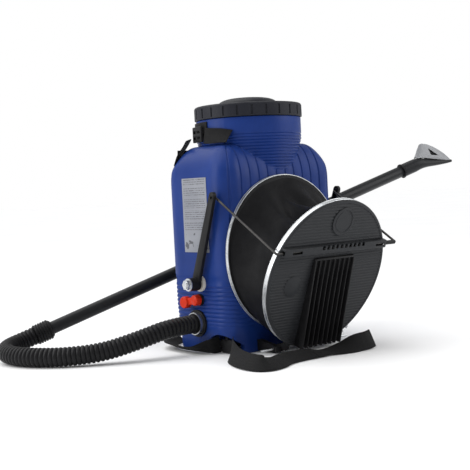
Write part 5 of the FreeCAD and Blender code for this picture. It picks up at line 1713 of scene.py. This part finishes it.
    def build(self, frame: dict) -> None:
        nodes = frame["nodes"]
        hose, line = self.hose()
        cuff = self.cuff()
        for row in ((hose, HOSE_BLACK, Body.HOPPER, "hose"), (cuff, HOSE_BLACK, Body.HOPPER, "hose_cuff"),
                    (self.tube(), LANCE_BLACK, Body.HOPPER, "lance"),
                    (self.collar(), MOULDED_BLACK, Body.HOPPER, "lance_collar"),
                    (self.nozzle_body(), LANCE_BLACK, Body.NOZZLE, "nozzle_body"),
                    (self.nozzle_plate(), NOZZLE_GREY, Body.NOZZLE, "nozzle_plate")):
            fit(*row)
        LOG.info("hose line %.4f m", Track(line).length())
        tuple(self.route[0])
        [tuple(p) for p in line]
        MOULDED_BLACK.dress(nodes["hose_socket"], nodes["air_duct"])
        ZINC.dress(nodes["hose_clamp"])


@dataclass
class Dosing:
    """Red dosing knob on its gland."""

    x: float = -167.4 * MM
    spindle: Pair = (-2.0 * MM, 113.0 * MM)

    def knob(self) -> bpy.types.Object:
        """Fluted round knob with one finger lobe."""
        y, z = self.spindle
        hub = Bench.turned([(0, -14 * MM), (9.5 * MM, -14 * MM), (11 * MM, -12.8 * MM),
                            (11.6 * MM, -11 * MM),
                            (11.6 * MM, -1 * MM), (11 * MM, 0), (0, 0)], (self.x, y, z), (1, 0, 0),
                            steps=56)
        lobe = Bench.turned([(0, -15.6 * MM), (11.5 * MM, -15.6 * MM), (12.8 * MM, -13.6 * MM),
                             (13.0 * MM, -3 * MM),
                             (12.2 * MM, -2 * MM), (0, -2 * MM)], (self.x, y + 34 * MM, z - 6 * MM),
                             (1, 0, 0), steps=48)
        neck = Bench.plate([(self.x - 12 * MM, y, z + 8 * MM), (self.x - 12 * MM, y + 36 * MM, z + 1 * MM),
                            (self.x - 12 * MM, y + 36 * MM, z - 12 * MM),
                            (self.x - 12 * MM, y, z - 9 * MM)],
                           (9 * MM, 0, 0), 1.6 * MM, 3)
        flutes = []
        for k in range(7):
            angle = math.radians(60 + 40 * k)
            flute = Bench.turned([(0, -18 * MM), (2.2 * MM, -18 * MM), (2.2 * MM, -3 * MM), (0, -3 * MM)],
                                 (self.x, y + 12.8 * MM * math.cos(angle), z + 12.8 * MM * math.sin(angle)),
                                 (1, 0, 0), steps=16)
            flutes.append(flute)
        Bench.cut(hub, Bench.join(flutes))
        return Bench.settle(Bench.join([hub, lobe, neck]), "dose_knob", smooth=40)

    def build(self, frame: dict) -> None:
        """Make and dress the knob.
        """
        nodes = frame["nodes"]
        fit(self.knob(), KNOB_RED, Body.DOSING, "dosing_knob")
        MOULDED_BLACK.dress(nodes["knob_bush"])
        ACETAL.dress(nodes["metering_seat"], nodes["metering_gate"])


# ---- harness -----------------------------------------------------------------------------------------
@dataclass
class Harness:
    """Webbing straps, their buckle and the hook plates in the base."""

    width: float = 38.0 * MM
    thick: float = 1.7 * MM
    front: float = 100.5 * MM
    strap_x: float = 105.0 * MM
    collar: float = 116.0 * MM
    rows: dict[str, float] = field(default_factory=dict)

    def strip(self, name: str, points: Sequence[Triple], across: Sequence[Triple], width: float,
              stands_for: str, ripple: float = 0.0) -> bpy.types.Object:
        """One strip of webbing with bound edges.

        Args:
            name: The piece's name.
            points: Its middle line, in metres.
            across: The direction of its width at each point.
            width: How wide it is.
            stands_for: The CAD node it replaces.
            ripple: Height of a slow twist along it.

        Returns:
            The strip.
        """
        steps, columns = 10, 10
        middle = smooth_path(points, steps)
        wide = smooth_path(across, steps)
        reach = [0.0]
        for a, b in zip(middle, middle[1:]):
            reach.append(reach[-1] + (b - a).length)
        total = reach[-1]
        last = len(middle) - 1

        def place(i: int, j: int) -> Vector:
            """Place of one grid point."""
            along = (middle[min(j + 1, last)] - middle[max(j - 1, 0)]).normalized()
            side = wide[j] - along * wide[j].dot(along)
            side.normalize()
            flat = along.cross(side)
            share = i / columns * 2 - 1
            wave = ripple * math.sin(math.tau * reach[j] / 0.11) * math.sin(math.pi * reach[j] / total)
            crown = 0.25 * MM * (1 - share * share)
            return middle[j] + side * (share * width / 2) + flat * (wave * share + crown)

        piece = Bench.wrapped(columns, last, place, lambda i, j: (i / columns * width, reach[j]))
        Bench.modify(piece, "SOLIDIFY", thickness=self.thick, offset=0.0)
        Bench.soften(piece, 0.45 * MM, 2, 60)
        Bench.settle(piece, name, smooth=50, outward=False)
        fit(piece, STRAP_BLACK, Body.HOPPER, stands_for)
        self.rows[name] = total
        return piece

    def shoulder(self, side: int, bulge: float, name: str, node: str) -> None:
        """A shoulder strap, bowed out to take an arm.

        Args:
            side: -1 for the left, 1 for the right.
            bulge: How far it bows out.
            name: The piece's name.
            node: The CAD node it replaces.
        """
        shape = ((0.991, 0.02), (0.905, 0.14), (0.795, 0.48), (0.664, 0.82), (0.505, 1.0), (0.345, 0.82),
                 (0.21, 0.45), (0.118, 0.12), (0.078, 0.0))
        points = [(side * self.strap_x, self.front + bulge * share, 0.44 * height) for height,
                  share in shape]
        self.strip(name, points, [(1, 0, 0)] * len(points), self.width, node)

    def around_collar(self, angle: float, out: float, z: float) -> Triple:
        """A point round the collar."""
        turn, reach = math.radians(angle), self.collar + out
        return reach * math.cos(turn), reach * math.sin(turn), z

    def neck(self) -> None:
        """The strap wrapped round the front of the collar."""
        points = [self.around_collar(-7 + 186 * k / 16, 2 * MM, 473 * MM) for k in range(17)]
        self.strip("neck_webbing", points, [(0, 0, 1)] * len(points), self.width - 0.5 * MM,
                   "neck_strap")

    def tail(self) -> None:
        """The neck strap's free end, lying back over the shoulder."""
        spots = ((178, 8, 12), (186.4, 8.8, 10), (198.4, 10, 9), (209.9, 14, 6))
        points = [self.around_collar(angle, out * MM, (450 + up) * MM) for angle, out, up in spots]
        self.strip("neck_webbing_end", points, [(0.1, 0, 1), (0.2, 0.02, 0.98), (0.43, 0.14, 0.89),
                                                (0.56, 0.32, 0.76)], self.width - 4 * MM,
                   "strap_tail_upper")

    def over_shoulder(self) -> None:
        """Webbing that comes up over the left shoulder to the buckle."""
        points = [(-143 * MM, 87 * MM, 403 * MM), (-138 * MM, 76 * MM, 424 * MM),
                  (-131 * MM, 64 * MM, 442 * MM),
                  (-128 * MM, 54 * MM, 456 * MM)]
        self.strip("left_shoulder_webbing", points, [(1, 0.9, 0.1), (1, 0.6, 0.1), (0.8, 0.3, 0.3),
                                                     (0.4, -0.4, 0.8)], self.width - 8 * MM,
                   "strap_shoulder_left")

    def lower(self) -> None:
        """The strap from the lower left corner, and the long strap on the floor with its free end."""
        points = [(-0.150, -0.046, 0.019), (-0.172, -0.038, 0.0165), (-0.180, 0.0, 0.0087),
                  (-0.181, 0.049, 0.0087),
                  (-0.172, 0.096, 0.0087), (-0.148, 0.126, 0.011), (-0.112, 0.140, 0.015)]
        self.strip("left_lower_webbing", points,
                   [(0, 0, 1), (-0.5, 0, 0.85), (-0.9, 0, 0.42), (-0.9, 0.1, 0.42),
                                                  (-0.8, 0.4, 0.42), (-0.5, 0.8, 0.5), (-0.3, 0.7, 0.65)],
                   self.width - 4 * MM, "strap_lower_left")
        points = [(-0.151, -0.090, 0.021), (-0.182, -0.120, 0.019), (-0.216, -0.167, 0.016),
                  (-0.237, -0.217, 0.015),
                  (-0.242, -0.260, 0.015), (-0.229, -0.278, 0.013), (-0.198, -0.273, 0.0105),
                  (-0.159, -0.255, 0.010),
                  (-0.116, -0.249, 0.0095), (-0.078, -0.250, 0.009)]
        self.strip("floor_webbing", points,
                   [(0, 0, 1), (0.4, 0.1, 0.91), (0.65, -0.1, 0.75), (0.7, -0.1, 0.71),
                                             (0.7, 0.1, 0.71), (0.35, 0.75, 0.56), (-0.1, 0.88, 0.46),
                                             (-0.2, 0.88, 0.43), (0, 0.91, 0.41), (0, 0.93, 0.37)],
                   self.width, "strap_floor")
        points = [(-0.0776, -0.250, 0.009), (-0.040, -0.250, 0.006), (-0.004, -0.264, 0.0106),
                  (0.026, -0.274, 0.0176),
                  (0.052, -0.276, 0.0192), (0.076, -0.271, 0.021)]
        self.strip("floor_webbing_end", points, [(0, 0.93, 0.37), (0, 0.99, 0.14), (-0.1, 0.9, 0.42),
                                                 (-0.35, 0.5, 0.79), (-0.4, 0.3, 0.87),
                                                 (-0.45, 0.25, 0.86)],
                   self.width, "strap_floor_tail")

    def buckle(self) -> bpy.types.Object:
        """Ladder-lock buckle with two bars."""
        frame = Bench.block((0, -23 * MM, -17 * MM), (6 * MM, 23 * MM, 17 * MM), 1.8 * MM, 3)
        for z in (-10 * MM, 2 * MM):
            Bench.cut(frame, Bench.block((-2 * MM, -18.5 * MM, z), (8 * MM, 18.5 * MM, z + 7 * MM),
                                         0.8 * MM))
        bars = [Bench.turned([(0, 0), (1.9 * MM, 0), (1.9 * MM, 38 * MM), (0, 38 * MM)],
                             (3 * MM, -19 * MM, z), (0, 1, 0), steps=16) for z in (-4 * MM, 9.5 * MM)]
        piece = Bench.join([frame, *bars])
        turn, reach = math.radians(164), self.collar + 4 * MM
        place = Matrix.Translation((reach * math.cos(turn), reach * math.sin(turn), 466 * MM))
        return Bench.settle(piece, "ladder_buckle", move=place @ Matrix.Rotation(turn, 4, "Z"))

    def hooks(self) -> bpy.types.Object:
        """Hook plates in the base recesses."""
        parts = []
        for side in (-1, 1):
            x = side * 145 * MM - 2.5 * MM
            outline = [(x, middle * MM + 14 * MM * math.cos(angle), 16 * MM + 14 * MM * math.sin(angle))
                       for middle, start in ((-52, -math.pi / 2), (-76, math.pi / 2))
                       for angle in (start + math.pi * k / 12 for k in range(13))]
            pad = Bench.plate(outline, (5 * MM, 0, 0), 1.0 * MM)
            for y in (-46 * MM, -82 * MM):
                Bench.cut(pad, Bench.turned([(0, 0), (3 * MM, 0), (3 * MM, 9 * MM), (0, 9 * MM)],
                                            (x - 2 * MM, y, 12 * MM), (1, 0, 0), steps=24))
            stem = Bench.block((x, -67 * MM, 26 * MM), (x + 5 * MM, -59 * MM, 38 * MM), 0.8 * MM)
            parts += [pad, stem]
        return Bench.settle(Bench.join(parts), "strap_hook_plates")

    def build(self) -> None:
        """Make and dress the harness."""
        self.shoulder(-1, 30 * MM, "left_shoulder_strap", "shoulder_strap_left")
        self.shoulder(1, 63 * MM, "right_shoulder_strap", "shoulder_strap_right")
        self.neck()
        self.tail()
        self.over_shoulder()
        self.lower()
        for piece, node in ((self.buckle(), "strap_buckle"), (self.hooks(), "strap_hooks")):
            fit(piece, MOULDED_BLACK, Body.HOPPER, node)
        for name, total in self.rows.items():
            LOG.info("%s is %.3f m long", name, total)


# ---- studio ------------------------------------------------------------------------------------------
@dataclass
class Studio:
    """Pale floor, soft light and the camera."""

    eye: Triple = (-1.483, -1.666, 0.342)
    yaw: float = 40.6
    pitch: float = -2.56
    roll: float = -2.82
    lens: float = 76.6
    room_strength: Pair = (0.55, 1.0)
    sky_power: float = 1.9
    box_power: float = 16.0

    def floor(self) -> None:
        """A wide pale floor."""
        Bench.rest()
        bpy.ops.mesh.primitive_plane_add(size=60, location=(0, 0, -0.2 * MM))
        plane = bpy.context.object
        plane.name = "floor"
        pale = bpy.data.materials.new("pale_floor")
        pale.use_nodes = True
        desk = Desk(pale.node_tree)
        place = desk.add("ShaderNodeTexCoord").outputs["Object"]
        cloud = desk.noise(place, 1.5, 3.0)
        colour = desk.mix(desk.ramp(cloud, 0.3, 0.7), (0.93, 0.935, 0.94, 1), (0.96, 0.96, 0.965, 1))
        shader = desk.add("ShaderNodeBsdfPrincipled", {"Base Color": colour, "Roughness": 0.7})
        shader.inputs["Specular IOR Level"].default_value = 0.2
        desk.add("ShaderNodeOutputMaterial", {"Surface": shader.outputs[0]})
        plane.data.materials.append(pale)
        plane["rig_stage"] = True

    def light(self, name: str, place: Triple, aim: Triple, size: Pair, power: float) -> None:
        """One soft box.

        Args:
            name: The light's name.
            place: Where it stands.
            aim: What it looks at.
            size: Its width and height.
            power: Its power, in watts.
        """
        lamp = bpy.data.lights.new(name, "AREA")
        lamp.shape = "RECTANGLE"
        lamp.size, lamp.size_y = size
        lamp.energy = power
        box = bpy.data.objects.new(name, lamp)
        box.location = place
        box.rotation_euler = (Vector(aim) - Vector(place)).to_track_quat("-Z", "Y").to_euler()
        bpy.context.scene.collection.objects.link(box)

    def sky_light(self, power: float) -> None:
        """Even light from overhead, a little behind the duster.

        Args:
            power: Its strength, in watts to the square metre.
        """
        lamp = bpy.data.lights.new("sky_light", "SUN")
        lamp.energy = power
        lamp.angle = math.radians(70)
        sky = bpy.data.objects.new("sky_light", lamp)
        sky.rotation_euler = Vector((0.25, -0.45, -1.0)).to_track_quat("-Z", "Y").to_euler()
        bpy.context.scene.collection.objects.link(sky)

    def camera(self) -> None:
        """The camera, level with the hopper's shoulders."""
        yaw, pitch, roll = (math.radians(v) for v in (self.yaw, self.pitch, self.roll))
        ahead = Vector((math.sin(yaw) * math.cos(pitch), math.cos(yaw) * math.cos(pitch), math.sin(pitch)))
        level = Vector((math.cos(yaw), -math.sin(yaw), 0))
        up = level.cross(ahead)
        right = level * math.cos(roll) + up * math.sin(roll)
        top = up * math.cos(roll) - level * math.sin(roll)
        turn = Matrix((right, top, -ahead)).transposed().to_4x4()
        data = bpy.data.cameras.new("camera")
        data.sensor_width = 36.0
        data.lens = self.lens
        made = bpy.data.objects.new("camera", data)
        made.matrix_world = Matrix.Translation(Vector(self.eye)) @ turn
        bpy.context.scene.collection.objects.link(made)
        bpy.context.scene.camera = made

    def build(self) -> None:
        """Set up the studio."""
        self.floor()
        world = bpy.data.worlds.new("white_room")
        world.use_nodes = True
        desk = Desk(world.node_tree)
        ray = desk.add("ShaderNodeLightPath").outputs["Is Camera Ray"]
        strength = desk.ramp(ray, 0.0, 1.0, *self.room_strength)
        room = desk.add("ShaderNodeBackground", {"Color": (1.0, 1.0, 1.0, 1), "Strength": strength})
        desk.add("ShaderNodeOutputWorld", {"Surface": room.outputs[0]})
        bpy.context.scene.world = world
        bpy.context.scene.view_settings.view_transform = "Standard"
        self.sky_light(self.sky_power)
        self.light("rear_right_box", (1.5, -1.5, 1.3), (0, -0.1, 0.25), (1.2, 1.6), self.box_power)
        self.light("left_box", (-1.9, 0.9, 0.9), (-0.1, 0, 0.25), (0.8, 1.4), self.box_power)
        self.camera()


def main() -> None:
    """Build the duster over its frame."""
    logging.basicConfig(level=logging.INFO, format="%(message)s")
    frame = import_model()
    Studio().build()
    HoseAndLance().build(frame)
    Hopper().build()
    FillerCap().build()
    RUBBER.dress(frame["nodes"]["cap_gasket"])
    HOPPER_BLUE.dress(frame["nodes"]["neck_thread"])
    Bellows().build(frame)
    PumpLinkage().build(frame)
    Dosing().build(frame)
    Harness().build()
    Bench.rest()
    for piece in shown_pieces():
        LOG.info("%s: %d faces", piece.name, len(piece.data.polygons))


if __name__ == "__main__":
    main()
